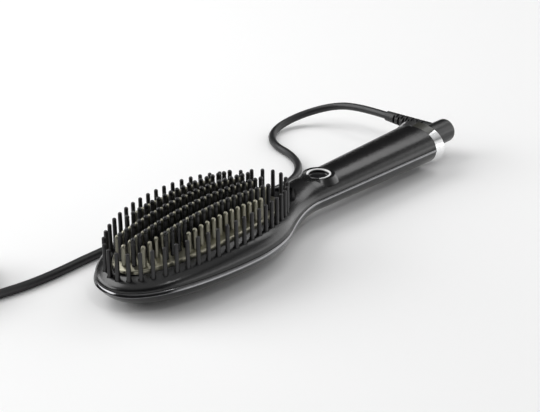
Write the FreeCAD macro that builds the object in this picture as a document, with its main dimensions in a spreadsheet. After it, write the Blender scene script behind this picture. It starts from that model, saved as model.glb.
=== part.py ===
import FreeCAD, Part
import math
import os

# Heated paddle brush with a power button and a swivelling mains lead.
# X runs from the tip of the head to the end of the handle, Y across, Z up to the bristles.
# The origin is under the middle of the brush, on the surface that it lies on.

Vector = FreeCAD.Vector
doc = FreeCAD.newDocument("HeatedBrush")

# ---------------------------------------------------------------- driving dimensions, mm
SIZES = [
    # head
    ("head_length", 73.5, "widest part of the head, from its tip"),
    ("head_half_width", 35.3, "half the width of the head, on the parting line"),
    ("head_bluntness", 2.2, "power of the oval towards the tip, 2 for an ellipse"),
    ("head_rear", 54.0, "length of the oval behind the widest part, if the neck did not start"),
    ("crown_height", 26.4, "top of the face above the floor"),
    ("crown_shift", -4.9, "crown of the face, from the widest part of the head"),
    ("crown_radius", 232.0, "lengthwise radius of the face"),
    ("parting_height", 15.5, "parting line between the two housings, above the floor"),
    ("parting_radius", 569.0, "radius on which the parting line drops to the tip"),
    ("parting_straight", 18.0, "straight part of the parting line before the widest part"),
    ("seam_gap", 0.3, "groove between the two housings"),
    ("back_flat", 0.4, "depth of the flat on the back, on which the brush lies"),
    # neck and handle
    ("neck_start", 35.5, "start of the neck, from the widest part of the head"),
    ("neck_length", 40.0, "length over which the head becomes the handle"),
    ("handle_length", 102.5, "straight handle, from the neck to the end band"),
    ("axis_height", 14.2, "axis of the handle above the floor"),
    ("neck_half_width", 13.3, "half the width of the handle at the neck"),
    ("neck_half_height", 9.2, "half the height of the handle at the neck"),
    ("tail_half_width", 16.8, "half the width of the handle at the end band"),
    ("tail_half_height", 11.4, "half the height of the handle at the end band"),
    ("saddle_slope", 0.13, "rise of the neck towards the power button"),
    ("step_reach", 72.9, "step between the face and the neck, from the middle of the bristles"),
    ("step_half_width", 20.4, "half the width of the oval that the step follows"),
    ("step_height", 19.0, "foot of the step above the floor"),
    ("step_radius", 31.0, "crosswise radius of the foot of the step"),
    ("rim_start", 21.0, "start of the sloping rim of the rear cover, from the start of the neck"),
    ("rim_depth", 2.05, "height of the sloping rim"),
    ("rim_inset", 1.1, "inset of the sloping rim at the parting line"),
    # bristles and heater plate
    ("field_shift", -8.3, "middle of the bristles, from the widest part of the head"),
    ("ring_half_length", 60.5, "half the length of the outer ring of bristles"),
    ("ring_half_width", 29.3, "half the width of the outer ring of bristles"),
    ("ring_count", 48, "bristles in the outer ring"),
    ("ring_pin_height", 13.9, "outer bristle above the face, without its rounded end"),
    ("ring_pin_radius", 1.28, "foot of an outer bristle"),
    ("ring_hole_gap", 0.22, "clearance round an outer bristle in the face"),
    ("rail_height", 10.5, "underside of the rail of the outer bristles"),
    ("rail_thick", 1.8, "rail of the outer bristles"),
    ("rail_width", 2.8, "rail of the outer bristles"),
    ("plate_half_length", 57.0, "half the length of the heater plate"),
    ("plate_half_width", 24.6, "half the width of the heater plate"),
    ("plate_rise", 2.1, "heater plate above the crown of the face"),
    ("plate_cross_radius", 131.0, "crosswise radius of the heater plate"),
    ("plate_edge", 0.7, "rounded edge of the heater plate"),
    ("land_height", 19.2, "underside of the heater plate"),
    ("post_pitch", 4.41, "spacing of posts and bristles along a row"),
    ("row_gap", 4.72, "spacing of the rows"),
    ("grid_start", 50.5, "first inner bristle, before the middle of the field"),
    ("grid_end", 42.5, "last inner bristle, after the middle of the field"),
    ("post_height", 11.0, "metal post above the plate"),
    ("post_end", 2.1, "pointed end of a metal post"),
    ("post_radius", 1.5, "foot of a metal post"),
    ("pin_height", 14.8, "inner bristle above the plate, with its rounded end"),
    ("pin_radius", 1.3, "foot of an inner bristle"),
    ("comb_thick", 1.5, "rail of a row of inner bristles"),
    ("fit_gap", 0.15, "clearance round fixed inner pieces"),
    ("frame_gap", 0.25, "clearance round the plate and its frame"),
    ("frame_wall", 0.8, "wall of the frame round the plate"),
    ("frame_foot", 10.4, "underside of the frame, on the floor of the rear cover"),
    ("frame_drop", 0.9, "edge of the frame below the face"),
    ("frame_ledge", 4.4, "width of the ledge of the frame under the plate"),
    ("ledge_thick", 1.6, "ledge of the frame under the plate"),
    # heater stack
    ("element_length", 66.0, "ceramic heating element"),
    ("element_width", 6.0, "ceramic heating element"),
    ("element_thick", 1.6, "ceramic heating element"),
    ("clamp_thick", 1.0, "plate that clamps the heating elements"),
    ("sensor_radius", 1.5, "temperature sensor"),
    ("fuse_radius", 1.9, "thermal fuse"),
    ("shield_half_length", 48.0, "heat shield"),
    ("shield_half_width", 19.0, "heat shield"),
    ("shield_thick", 0.8, "heat shield"),
    ("shield_height", 7.4, "underside of the heat shield"),
    # electronics
    ("board_start", 6.0, "control board, from the end of the neck"),
    ("board_gap", 3.5, "clearance between the control board and the swivel shaft"),
    ("board_half_width", 9.4, "control board"),
    ("board_height", 10.6, "underside of the control board"),
    ("board_thick", 1.6, "control board"),
    # power button
    ("button_reach", 11.8, "power button, from the end of the neck"),
    ("button_radius", 5.6, "power button"),
    ("button_gap", 0.15, "clearance round the power button"),
    ("button_travel", 0.6, "travel of the power button"),
    ("button_sink", 0.9, "top of the power button below the handle"),
    ("bezel_width", 1.1, "bright ring round the power button"),
    ("bezel_opening", 90.0, "opening of the bright ring towards the head, degrees"),
    ("mound_radius", 9.3, "top of the mound round the power button"),
    ("mound_foot", 12.0, "foot of the mound round the power button"),
    ("mound_height", 3.4, "height of the mound round the power button"),
    # end band, cap and swivel
    ("band_length", 6.0, "bright end band"),
    ("band_flare_width", 1.6, "flare of the end band, in half width"),
    ("band_flare_height", 1.1, "flare of the end band, in half height"),
    ("inlay_half_width", 6.4, "plain inlay on top of the end band, half its width"),
    ("inlay_shift", -4.2, "middle of the inlay, across the end band"),
    ("inlay_thick", 0.35, "plain inlay on top of the end band"),
    ("cap_flange", 1.7, "flange of the end cap behind the band"),
    ("swivel_gap", 0.3, "gap between the end cap and the swivel"),
    ("stub_length", 25.9, "swivel stub"),
    ("stub_radius", 7.4, "swivel stub"),
    ("stub_round", 2.4, "rounded end of the swivel stub"),
    ("shaft_radius", 4.5, "shaft of the swivel"),
    ("shaft_gap", 0.06, "running clearance of the swivel shaft"),
    ("shaft_reach", 15.0, "shaft of the swivel, inside the handle"),
    ("retainer_radius", 6.6, "retaining ring of the swivel"),
    ("retainer_thick", 1.0, "retaining ring of the swivel"),
    ("relief_x", 10.7, "cord outlet, from the end of the stub"),
    ("relief_lift", 1.3, "cord outlet above the swivel axis"),
    ("relief_tilt", 1.7, "rise of the strain relief, degrees"),
    ("relief_length", 39.0, "strain relief, from the swivel axis"),
    ("relief_root", 4.8, "radius of the strain relief at the stub"),
    ("relief_tip", 3.2, "radius of the strain relief at its tip"),
    # mains lead
    ("cord_diameter", 4.8, "mains lead"),
    ("coil_radius", 26.4, "middle of the turns of the put-away coil"),
    ("coil_section", 14.4, "width and height of the put-away coil"),
    ("coil_lead", 20.0, "straight ends of the coil"),
    ("coil_x", -191.0, "centre of the coil"),
    ("coil_y", 86.5, "centre of the coil"),
    ("tie_width", 9.0, "tie round the coil"),
    ("tie_thick", 1.2, "tie round the coil"),
    ("plug_length", 34.0, "two-pin plug"),
    ("plug_width", 26.0, "two-pin plug"),
    ("plug_thick", 13.6, "two-pin plug"),
    ("plug_pin_length", 19.0, "pin of the plug"),
    ("plug_pin_radius", 2.0, "pin of the plug"),
    ("plug_pin_spacing", 18.6, "distance between the pins"),
]

# places that follow from the sizes, each written as a formula of the second sheet
LAYOUT = [
    ("overall", "Sizes.head_length + Sizes.neck_start + Sizes.neck_length"
                " + Sizes.handle_length + Sizes.band_length + Sizes.cap_flange"
                " + Sizes.swivel_gap + Sizes.stub_length"),
    ("tip_x", "-overall/2"),
    ("head_x", "tip_x + Sizes.head_length"),
    ("crown_x", "head_x + Sizes.crown_shift"),
    ("field_x", "head_x + Sizes.field_shift"),
    ("neck_x", "head_x + Sizes.neck_start"),
    ("grip_x", "neck_x + Sizes.neck_length"),
    ("tail_x", "grip_x + Sizes.handle_length"),
    ("band_x", "tail_x + Sizes.band_length"),
    ("stub_x", "band_x + Sizes.cap_flange + Sizes.swivel_gap"),
    ("end_x", "overall/2"),
    ("button_x", "grip_x + Sizes.button_reach"),
    ("relief_at", "end_x - Sizes.relief_x"),
    ("relief_z", "Sizes.axis_height + Sizes.relief_lift"),
    ("board_x", "grip_x + Sizes.board_start"),
    ("board_length", "Sizes.handle_length - Sizes.board_start - Sizes.shaft_reach - Sizes.board_gap"),
    ("board_top", "Sizes.board_height + Sizes.board_thick"),
    ("plate_top", "Sizes.crown_height + Sizes.plate_rise"),
    ("element_z", "Sizes.land_height - Sizes.fit_gap/2 - Sizes.element_thick"),
    ("clamp_z", "element_z - Sizes.fit_gap/2 - Sizes.clamp_thick"),
]


def make_sheet(name, rows, as_formula):
    """A sheet with one aliased cell for each row."""
    made = doc.addObject("Spreadsheet::Sheet", name)
    for number, row in enumerate(rows, start=1):
        made.set("A%d" % number, row[0])
        made.setAlias("B%d" % number, row[0])
    for number, row in enumerate(rows, start=1):
        made.set("B%d" % number, "=" + row[1] if as_formula else str(row[1]))
    doc.recompute()
    return made


sheet = make_sheet("Sizes", SIZES, False)
layout = make_sheet("Layout", LAYOUT, True)


def size(name):
    """A driving dimension, as a number."""
    return float(sheet.get(name))


def place(name):
    """A place that follows from the driving dimensions, as a number."""
    return float(layout.get(name))


# ---------------------------------------------------------------- helpers
PIECES = []


def bind(item, bindings):
    """Bind properties of an object to formulas of the sheets."""
    for prop, formula in bindings.items():
        item.setExpression(prop, formula)
    return item


def keep(item, label):
    """Keep an object as a sub-part under its own name."""
    item.Label = label
    PIECES.append(item)
    return item


def box(name, low, span):
    """A box whose low corner and sides are formulas."""
    made = doc.addObject("Part::Box", name)
    corner = dict(zip(("Placement.Base.x", "Placement.Base.y", "Placement.Base.z"), low))
    bind(made, corner)
    return bind(made, dict(zip(("Length", "Width", "Height"), span)))


TURNS = {
    "X": FreeCAD.Rotation(Vector(0, 1, 0), 90),
    "Y": FreeCAD.Rotation(Vector(1, 0, 0), -90),
    "Z": FreeCAD.Rotation(),
}


def cylinder(name, foot, radius, height, along="Z"):
    """A cylinder along a row axis, whose foot, radius and height are formulas."""
    made = doc.addObject("Part::Cylinder", name)
    made.Placement = FreeCAD.Placement(Vector(), TURNS[along])
    bind(made, dict(zip(("Placement.Base.x", "Placement.Base.y", "Placement.Base.z"), foot)))
    return bind(made, {"Radius": radius, "Height": height})


def oval(name, centre_x, half_length, half_width, low, height):
    """An upright oval column whose sizes are formulas."""
    ring = doc.addObject("Part::Ellipse", name + "_outline")
    bind(ring, {"MajorRadius": half_length, "MinorRadius": half_width,
                "Placement.Base.x": centre_x, "Placement.Base.z": low})
    made = doc.addObject("Part::Extrusion", name)
    made.Base = ring
    made.Dir = Vector(0, 0, 1)
    made.Solid = True
    return bind(made, {"LengthFwd": height})


def across(name, centre_y_height, half_width, half_height, low, length):
    """An oval column along X, centred on a height, whose sizes are formulas."""
    ring = doc.addObject("Part::Ellipse", name + "_outline")
    ring.Placement = FreeCAD.Placement(Vector(), FreeCAD.Rotation(Vector(1, 1, 1), 120))
    bind(ring, {"MajorRadius": half_width, "MinorRadius": half_height,
                "Placement.Base.x": low, "Placement.Base.z": centre_y_height})
    made = doc.addObject("Part::Extrusion", name)
    made.Base = ring
    made.Dir = Vector(1, 0, 0)
    made.Solid = True
    return bind(made, {"LengthFwd": length})


def cut(name, base, tool):
    """One object less another."""
    made = doc.addObject("Part::Cut", name)
    made.Base = base
    made.Tool = tool
    return made


def fuse(name, *shapes):
    """Several objects as one."""
    made = doc.addObject("Part::MultiFuse", name)
    made.Shapes = list(shapes)
    return made


def feature(name, shape):
    """An object whose shape is worked out here."""
    made = doc.addObject("Part::Feature", name)
    made.Shape = shape
    return made


# ---------------------------------------------------------------- outside form of the brush
HANDLE_FULL = 0.59  # share of a quarter's sides that its tangents take, on the handle
FACE_FULL = 0.71    # for the face of the head
BACK_FULL = 0.60    # for the back of the head; 0.5523 is a true ellipse
FACE_BLUNT = 5      # how bluntly the face and the back close at the tip
BACK_BLUNT = 2


def smooth(share):
    """A smooth step from 0 to 1."""
    share = min(max(share, 0.0), 1.0)
    return share * share * (3 - 2 * share)


def hermite(share, span, start, start_slope, end, end_slope):
    """A cubic from start to end with the given slopes, at a share of its span."""
    square = share * share
    cube = square * share
    return ((2 * cube - 3 * square + 1) * start + (cube - 2 * square + share) * span * start_slope
            + (3 * square - 2 * cube) * end + (cube - square) * span * end_slope)


class Form:
    """The brush's outside as sections across X."""

    def __init__(self):
        self.head_x = place("head_x")
        self.neck_x = place("neck_x")
        self.grip_x = place("grip_x")
        self.width = size("head_half_width")

    def open_share(self, x):
        """Distance ahead of the widest part, as a share of the head's length."""
        return min(max((self.head_x - x) / size("head_length"), 0.0), 1.0)

    def rounding(self, x, blunt):
        """How far the head has opened from its tip, from 0 to 1."""
        return 1 - (1 - math.sqrt(1 - self.open_share(x) ** 2)) ** blunt

    def along_handle(self, x, at_neck, at_tail):
        """A handle size at x and its slope."""
        slope = (size(at_tail) - size(at_neck)) / size("handle_length")
        return size(at_neck) + slope * (x - self.grip_x), slope

    def parting(self, x):
        """Height of the parting line."""
        start = self.head_x - size("parting_straight")
        if x >= start:
            return size("parting_height")
        radius = size("parting_radius")
        return size("parting_height") - radius + math.sqrt(radius ** 2 - (start - x) ** 2)

    def middle(self, x):
        """Height at which the section is widest."""
        share = smooth((x - self.neck_x) / size("neck_length"))
        return self.parting(x) * (1 - share) + size("axis_height") * share

    def half_width(self, x):
        """Half the width of the section."""
        if x >= self.grip_x:
            return self.along_handle(x, "neck_half_width", "tail_half_width")[0]
        if x < self.head_x:
            power = size("head_bluntness")
            return self.width * max(1 - self.open_share(x) ** power, 0.0) ** (1 / power)
        share = (min(x, self.neck_x) - self.head_x) / size("head_rear")
        head = self.width * math.sqrt(1 - share ** 2)
        if x <= self.neck_x:
            return head
        slope = -self.width ** 2 * share / (size("head_rear") * head)
        end, end_slope = self.along_handle(self.grip_x, "neck_half_width", "tail_half_width")
        span = size("neck_length")
        return hermite((x - self.neck_x) / span, span, head, slope, end, end_slope)

    def face_crown(self, x):
        """Height of the head's face on the centre line, before it closes at the tip."""
        return size("crown_height") - (x - place("crown_x")) ** 2 / (2 * size("crown_radius"))

    def rise(self, x):
        """Height of the section above its widest place."""
        if x >= self.grip_x:
            return self.along_handle(x, "neck_half_height", "tail_half_height")[0]
        edge = min(x, self.neck_x)
        open_rise = max(self.face_crown(edge) - self.middle(edge), 0.4)
        head = self.middle(edge) + open_rise * self.rounding(edge, FACE_BLUNT)
        if x <= self.neck_x:
            return head - self.middle(x)
        slope = -(self.neck_x - place("crown_x")) / size("crown_radius")
        end = size("axis_height") + size("neck_half_height")
        span = size("neck_length")
        top = hermite((x - self.neck_x) / span, span, head, slope, end, size("saddle_slope"))
        return top - self.middle(x)

    def depth(self, x):
        """Depth of the section below its widest place."""
        if x >= self.grip_x:
            return self.along_handle(x, "neck_half_height", "tail_half_height")[0]
        edge = min(x, self.neck_x)
        full = self.middle(edge) + size("back_flat")
        head = self.middle(edge) - full * self.rounding(edge, BACK_BLUNT)
        if x <= self.neck_x:
            return self.middle(x) - head
        end = size("axis_height") - size("neck_half_height")
        bottom = head + (end - head) * smooth((x - self.neck_x) / size("neck_length"))
        return self.middle(x) - bottom

    def fullness(self, x, head_full):
        """How square a quarter of the section is."""
        share = smooth((x - self.neck_x) / size("neck_length"))
        return head_full * (1 - share) + HANDLE_FULL * share

    def face(self, x, y):
        """Height of the upper surface at x and y."""
        width, rise, full = self.half_width(x), self.rise(x), self.fullness(x, FACE_FULL)
        low, high = 0.0, 1.0
        for _ in range(40):
            t = (low + high) / 2
            reach = width * ((1 - t) ** 3 + 3 * (1 - t) ** 2 * t + 3 * full * (1 - t) * t * t)
            low, high = (t, high) if reach > abs(y) else (low, t)
        t = (low + high) / 2
        return self.middle(x) + rise * (3 * full * (1 - t) ** 2 * t + 3 * (1 - t) * t * t + t ** 3)

    def section(self, x):
        """The closed section at x, four tangent quarters."""
        width, middle = self.half_width(x), self.middle(x)
        rise, depth = self.rise(x), self.depth(x)
        upper, lower = self.fullness(x, FACE_FULL), self.fullness(x, BACK_FULL)
        edges = []
        for side_a, height_a, full, start_on_side in (
                (width, rise, upper, True), (-width, rise, upper, False),
                (-width, -depth, lower, True), (width, -depth, lower, False)):
            points = [Vector(x, side_a, middle), Vector(x, side_a, middle + full * height_a),
                      Vector(x, full * side_a, middle + height_a), Vector(x, 0, middle + height_a)]
            if not start_on_side:
                points.reverse()
            curve = Part.BezierCurve()
            curve.setPoles(points)
            edges.append(curve.toShape())
        return Part.Wire(edges)

    def stations(self):
        """Places of the sections along the head and the neck, from the tip."""
        near_tip, to_neck, in_neck = 9, 4, 6
        quarter = math.pi / 2
        found = [self.head_x - size("head_length") * math.cos(quarter * step / near_tip)
                 for step in range(1, near_tip)]
        for start, end, steps in ((self.head_x, self.neck_x, to_neck), (self.neck_x, self.grip_x, in_neck)):
            found += [start + (end - start) * step / steps for step in range(steps)]
        return found + [self.grip_x]

    def solid(self):
        """The form as one solid: the head and neck, closed to a point at the tip, and the handle."""
        point = Part.Vertex(Vector(place("tip_x"), 0, self.middle(place("tip_x"))))
        head = Part.makeLoft([point] + [self.section(x) for x in self.stations()], True, False)
        ends = [self.section(self.grip_x), self.section(place("tail_x"))]
        return head.fuse(Part.makeLoft(ends, True, True))


BEYOND = 20.0       # how far a cutting form reaches past what it cuts

outside = Form()
ground = Part.makeBox(place("overall") + 2 * BEYOND, 2 * (size("head_half_width") + BEYOND), BEYOND,
                      Vector(place("tip_x") - BEYOND, -size("head_half_width") - BEYOND, -BEYOND))
body = outside.solid().cut(ground)

# ---------------------------------------------------------------- housings


def below_parting(lift):
    """Everything under the parting line, moved up by a lift."""
    start = outside.head_x - size("parting_straight")
    level = size("parting_height") + lift
    tip = place("tip_x") - BEYOND
    end = place("tail_x") + BEYOND
    radius = size("parting_radius")

    def drop(x):
        return level - radius + math.sqrt(radius ** 2 - (start - x) ** 2)

    halfway = (tip + start) / 2
    curve = Part.Arc(Vector(tip, 0, drop(tip)), Vector(halfway, 0, drop(halfway)),
                     Vector(start, 0, level)).toShape()
    corners = [Vector(start, 0, level), Vector(end, 0, level), Vector(end, 0, -BEYOND),
               Vector(tip, 0, -BEYOND), Vector(tip, 0, drop(tip))]
    sides = [Part.makeLine(*pair) for pair in zip(corners, corners[1:])]
    face = Part.Face(Part.Wire([curve] + sides))
    half = size("head_half_width") + BEYOND
    face.translate(Vector(0, -half, 0))
    return face.extrude(Vector(0, 2 * half, 0))


upper = feature("upper_form", body.cut(below_parting(size("seam_gap") / 2)))
lower = feature("lower_form", body.common(below_parting(-size("seam_gap") / 2)))

# the rear cover's edge slopes inwards along the handle, so that it shows as a bright rim
rim_top = size("parting_height")


def rim_tool(side):
    """What the sloping rim takes off one side of the rear cover."""
    run, drop, spare = size("rim_inset"), size("rim_depth"), 0.3
    lean = run / drop
    start = outside.neck_x + size("rim_start")
    places = [start, start + 4, start + 9, start + 14, outside.grip_x, outside.grip_x + 30,
              place("tail_x") + 1]
    wires = []
    for x in places:
        edge = outside.half_width(x)
        low, high, out = rim_top - drop - spare, rim_top + spare, edge + 4
        corners = [(edge - run - lean * spare, high), (edge + lean * spare, low), (out, low), (out, high)]
        points = [Vector(x, side * y, z) for y, z in corners]
        wires.append(Part.makePolygon(points + [points[0]]))
    return Part.makeLoft(wires, True, True)


# rooms inside the housings: a wide low one for the rail of the outer bristles, a narrow one under
# it, one for the board and one for the swivel's shaft
rail_room = oval("rail_room", "Layout.field_x", "Sizes.ring_half_length + Sizes.rail_width/2 + 0.4",
                 "Sizes.ring_half_width + Sizes.rail_width/2 + 0.4", "Sizes.rail_height - 0.3",
                 "Sizes.rail_thick + 0.7")
shield_room = oval("shield_room", "Layout.field_x", "Sizes.shield_half_length + 2",
                   "Sizes.shield_half_width + 2", "Sizes.shield_height - 2",
                   "Sizes.rail_height - Sizes.shield_height + 2.2")
board_room = box("board_room",
                 ("Layout.neck_x - 12", "-Sizes.board_half_width - 0.5", "Sizes.board_height - 2"),
                 ("Layout.board_length + Sizes.neck_length + Sizes.board_start + 16",
                  "2*Sizes.board_half_width + 1", "8.6"))
shaft_room = cylinder("shaft_room", ("Layout.tail_x - Sizes.shaft_reach - 3", "0",
                                     "Sizes.axis_height"),
                      "Sizes.retainer_radius + 0.6", "Sizes.shaft_reach + 8", "X")

# the opening for the heater plate and its frame
frame_hole = oval("frame_hole", "Layout.field_x",
                  "Sizes.plate_half_length + 2*Sizes.frame_gap + Sizes.frame_wall",
                  "Sizes.plate_half_width + 2*Sizes.frame_gap + Sizes.frame_wall",
                  "Sizes.rail_height", str(BEYOND))

# the well of the power button, in a drop-shaped scoop on a low mound
button_well = cylinder("button_well", ("Layout.button_x", "0", "Sizes.board_height"),
                       "Sizes.button_radius + Sizes.button_gap", str(BEYOND))
flange_well = cylinder("flange_well", ("Layout.button_x", "0", "Sizes.board_height"),
                       "Sizes.button_radius + 1.1", "8.2")
surface = outside.face(place("button_x"), 0)
mound = Part.makeCone(size("mound_foot"), size("mound_radius"), size("mound_height"),
                      Vector(place("button_x"), 0, surface - size("mound_height")))


def scoop(lift):
    """The drop-shaped hollow round the button, moved up by a lift."""
    wide, along, deep, above = 11.2, 17.2, 4.2, 3.0
    ball = Part.makeSphere(deep)
    stretch = FreeCAD.Matrix(along / deep, 0, 0, 0, 0, wide / deep, 0, 0, 0, 0, 1, 0, 0, 0, 0, 1)
    ball = ball.transformGeometry(stretch)
    ball.translate(Vector(place("button_x") - 3.5, 0, surface + above + lift))
    return ball


def bezel_ring(clear, low, high):
    """The bright ring round the button, open towards the head."""
    inner = size("button_radius") + 0.35 - clear
    outer = inner + size("bezel_width") + 2 * clear
    half = math.pi - math.radians(size("bezel_opening")) / 2
    centre = Vector(place("button_x"), 0, low)

    def at(radius, angle):
        return centre + Vector(radius * math.cos(angle), radius * math.sin(angle), 0)

    edges = [Part.Arc(at(outer, -half), at(outer, 0), at(outer, half)).toShape(),
             Part.makeLine(at(outer, half), at(inner, half)),
             Part.Arc(at(inner, half), at(inner, 0), at(inner, -half)).toShape(),
             Part.makeLine(at(inner, -half), at(outer, -half))]
    return Part.Face(Part.Wire(edges)).extrude(Vector(0, 0, high - low))


def ring_places():
    """Where the outer bristles stand, evenly spaced along their oval."""
    long_half, short_half = size("ring_half_length"), size("ring_half_width")
    steps = 2000
    angles = [2 * math.pi * step / steps for step in range(steps + 1)]
    spots = [(long_half * math.cos(angle), short_half * math.sin(angle)) for angle in angles]
    reach = [0.0]
    for before, after in zip(spots, spots[1:]):
        reach.append(reach[-1] + math.dist(before, after))
    count = int(size("ring_count"))
    found = []
    spot = 0
    for number in range(count):
        wanted = reach[-1] * (number + 0.5) / count
        while reach[spot] < wanted:
            spot += 1
        found.append((place("field_x") + spots[spot][0], spots[spot][1]))
    return found


RING_TAPER = 0.86   # top of an outer bristle, as a share of its foot


def ring_pins():
    """The outer bristles, with rounded ends."""
    low = size("rail_height") + size("rail_thick") / 2
    foot = size("ring_pin_radius")
    top = RING_TAPER * foot
    pins = []
    for x, y in ring_places():
        tall = outside.face(x, y) + size("ring_pin_height") - low
        start = Vector(x, y, low)
        pins.append(Part.makeCone(foot, top, tall, start))
        pins.append(Part.makeCone(top, 0.5 * top, 0.7 * top, start + Vector(0, 0, tall)))
    return pins


def ring_holes():
    """The holes for the outer bristles in the face."""
    low = size("rail_height") + size("rail_thick")
    radius = size("ring_pin_radius") + size("ring_hole_gap")
    return [Part.makeCylinder(radius, outside.face(x, y) + 3 - low, Vector(x, y, low))
            for x, y in ring_places()]


def dome(top, half_angle):
    """A block whose upper face curves along the brush and across it."""
    along, crosswise = size("crown_radius"), size("plate_cross_radius")
    half = size("head_half_width")
    low = top - 20
    shoulder = top - crosswise + math.sqrt(crosswise ** 2 - half ** 2)
    x = place("crown_x")
    left, right = Vector(x, -half, shoulder), Vector(x, half, shoulder)
    edges = [Part.Arc(left, Vector(x, 0, top), right).toShape(),
             Part.makeLine(right, Vector(x, half, low)),
             Part.makeLine(Vector(x, half, low), Vector(x, -half, low)),
             Part.makeLine(Vector(x, -half, low), left)]
    face = Part.Face(Part.Wire(edges))
    face.rotate(Vector(x, 0, top - along), Vector(0, 1, 0), -half_angle)
    return face.revolve(Vector(x, 0, top - along), Vector(0, 1, 0), 2 * half_angle)


# the neck ends in a low step, which looks down on the face behind the last bristles
step_oval = oval("step_oval", "Layout.field_x", "Sizes.step_reach", "Sizes.step_half_width",
                 "Sizes.step_height", str(BEYOND))
step_trough = cylinder("step_trough", ("Layout.neck_x - 4", "0", "Sizes.step_height + Sizes.step_radius"),
                       "Sizes.step_radius", "50", "X")


rooms = fuse("rooms", rail_room, shield_room, board_room, shaft_room)
openings = fuse("openings", frame_hole, button_well, flange_well)
doc.recompute()
step = step_oval.Shape.common(step_trough.Shape).cut(dome(size("crown_height") + 0.15, 22))
bezel_foot = surface - 3.6
bezel_groove = bezel_ring(0.05, bezel_foot, surface + BEYOND)
front = upper.Shape.fuse(mound).cut([step, scoop(0.0)])
front_tools = [rooms.Shape, openings.Shape, bezel_groove] + ring_holes()
keep(feature("front_shape", front.cut(front_tools)), "front_housing")

# the rear cover carries the board on ribs and the heat shield on bosses
ribs = []
for share in (0.04, 0.5, 0.96):
    ribs.append(Part.makeBox(2, 2 * size("board_half_width") + 1, 2,
                             Vector(place("board_x") + share * place("board_length") - 1,
                                    -size("board_half_width") - 0.5, size("board_height") - 2)))
for way_x in (-1, 1):
    for way_y in (-1, 1):
        foot = Vector(place("field_x") + way_x * 0.6 * size("shield_half_length"),
                      way_y * 0.55 * size("shield_half_width"), size("shield_height") - 2.1)
        ribs.append(Part.makeCylinder(2.4, 2.1, foot))
rear_tools = [rooms.Shape, frame_hole.Shape, rim_tool(-1), rim_tool(1)] + ring_holes()
rear = lower.Shape.cut(rear_tools).fuse(ribs).removeSplitter()
keep(feature("rear_shape", rear), "rear_cover")

# ---------------------------------------------------------------- outer bristles
rail_outer = oval("rail_outer", "Layout.field_x", "Sizes.ring_half_length + Sizes.rail_width/2",
                  "Sizes.ring_half_width + Sizes.rail_width/2", "Sizes.rail_height",
                  "Sizes.rail_thick")
rail_inner = oval("rail_inner", "Layout.field_x", "Sizes.ring_half_length - Sizes.rail_width/2",
                  "Sizes.ring_half_width - Sizes.rail_width/2", "Sizes.rail_height - 1",
                  "Sizes.rail_thick + 2")
rail = cut("rail", rail_outer, rail_inner)
doc.recompute()
keep(feature("outer_shape", rail.Shape.fuse(ring_pins())), "outer_bristles")

# ---------------------------------------------------------------- heater plate


def plate_face(x, y):
    """Height of the heater plate at x and y."""
    return (place("plate_top") - (x - place("crown_x")) ** 2 / (2 * size("crown_radius"))
            - y ** 2 / (2 * size("plate_cross_radius")))


def row_places(y, margin, shift):
    """Where the posts or bristles of a row stand along it."""
    length = size("plate_half_length") - margin - END_MARGIN
    width = size("plate_half_width") - margin
    reach = length * math.sqrt(1 - (y / width) ** 2)
    pitch = size("post_pitch")
    first = place("field_x") - reach
    last = min(place("field_x") + reach, place("field_x") + size("grid_end"))
    origin = place("field_x") - size("grid_start") + shift * pitch
    steps = range(-40, 80)
    return [origin + step * pitch for step in steps if first <= origin + step * pitch <= last]


post_rows = [way * step * size("row_gap") for step in (0, 2, 4) for way in (-1, 1) if step or way > 0]
comb_rows = [way * step * size("row_gap") for step in (1, 3) for way in (-1, 1)]
POST_MARGIN = 1.9   # from the edge of the plate to the first post of a row
PIN_MARGIN = 2.9    # and to the first bristle
END_MARGIN = 1.2    # and more than that at the ends of the plate
POST_TAPER = 0.93   # top of a post's shaft, as a share of its foot
PIN_TAPER = 0.8     # top of an inner bristle, as a share of its foot

blank = oval("plate_blank", "Layout.field_x", "Sizes.plate_half_length", "Sizes.plate_half_width",
             "Sizes.land_height", "Layout.plate_top - Sizes.land_height + 2")
groove = box("sensor_groove",
             ("Layout.field_x - 21", "-Sizes.fuse_radius - Sizes.fit_gap", "Sizes.land_height - 1"),
             ("42", "2*(Sizes.fuse_radius + Sizes.fit_gap)", "3.4"))
doc.recompute()
posts = []
for y in post_rows:
    for x in row_places(y, POST_MARGIN, 0.5):
        foot = size("post_radius")
        neck = POST_TAPER * foot
        start = Vector(x, y, plate_face(x, y) - 0.8)
        shaft = plate_face(x, y) + size("post_height") - size("post_end") - start.z
        posts.append(Part.makeCone(foot, neck, shaft, start))
        end = start + Vector(0, 0, shaft)
        posts.append(Part.makeCone(neck, 0.72 * neck, 0.6 * size("post_end"), end))
        end += Vector(0, 0, 0.6 * size("post_end"))
        posts.append(Part.makeCone(0.72 * neck, 0.25 * neck, 0.4 * size("post_end"), end))
holes = []
pins = {}
for y in comb_rows:
    pins[y] = []
    for x in row_places(y, PIN_MARGIN, 0.0):
        start = Vector(x, y, size("land_height") - 1.2)
        radius = size("pin_radius")
        tall = plate_face(x, y) + size("pin_height") - start.z
        holes.append(Part.makeCylinder(radius + 0.1, BEYOND, start))
        pins[y].append(Part.makeCone(radius, PIN_TAPER * radius, tall, start))
casting = blank.Shape.common(dome(place("plate_top"), 18))
rim_edges = [edge for edge in casting.Edges if edge.BoundBox.ZMax > size("land_height") + 0.5
             and edge.BoundBox.XLength > size("plate_half_length")]
casting = casting.makeFillet(size("plate_edge"), rim_edges)
casting = casting.cut([groove.Shape] + holes)
keep(feature("plate_shape", casting.fuse(posts)), "heater_plate")

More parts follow.
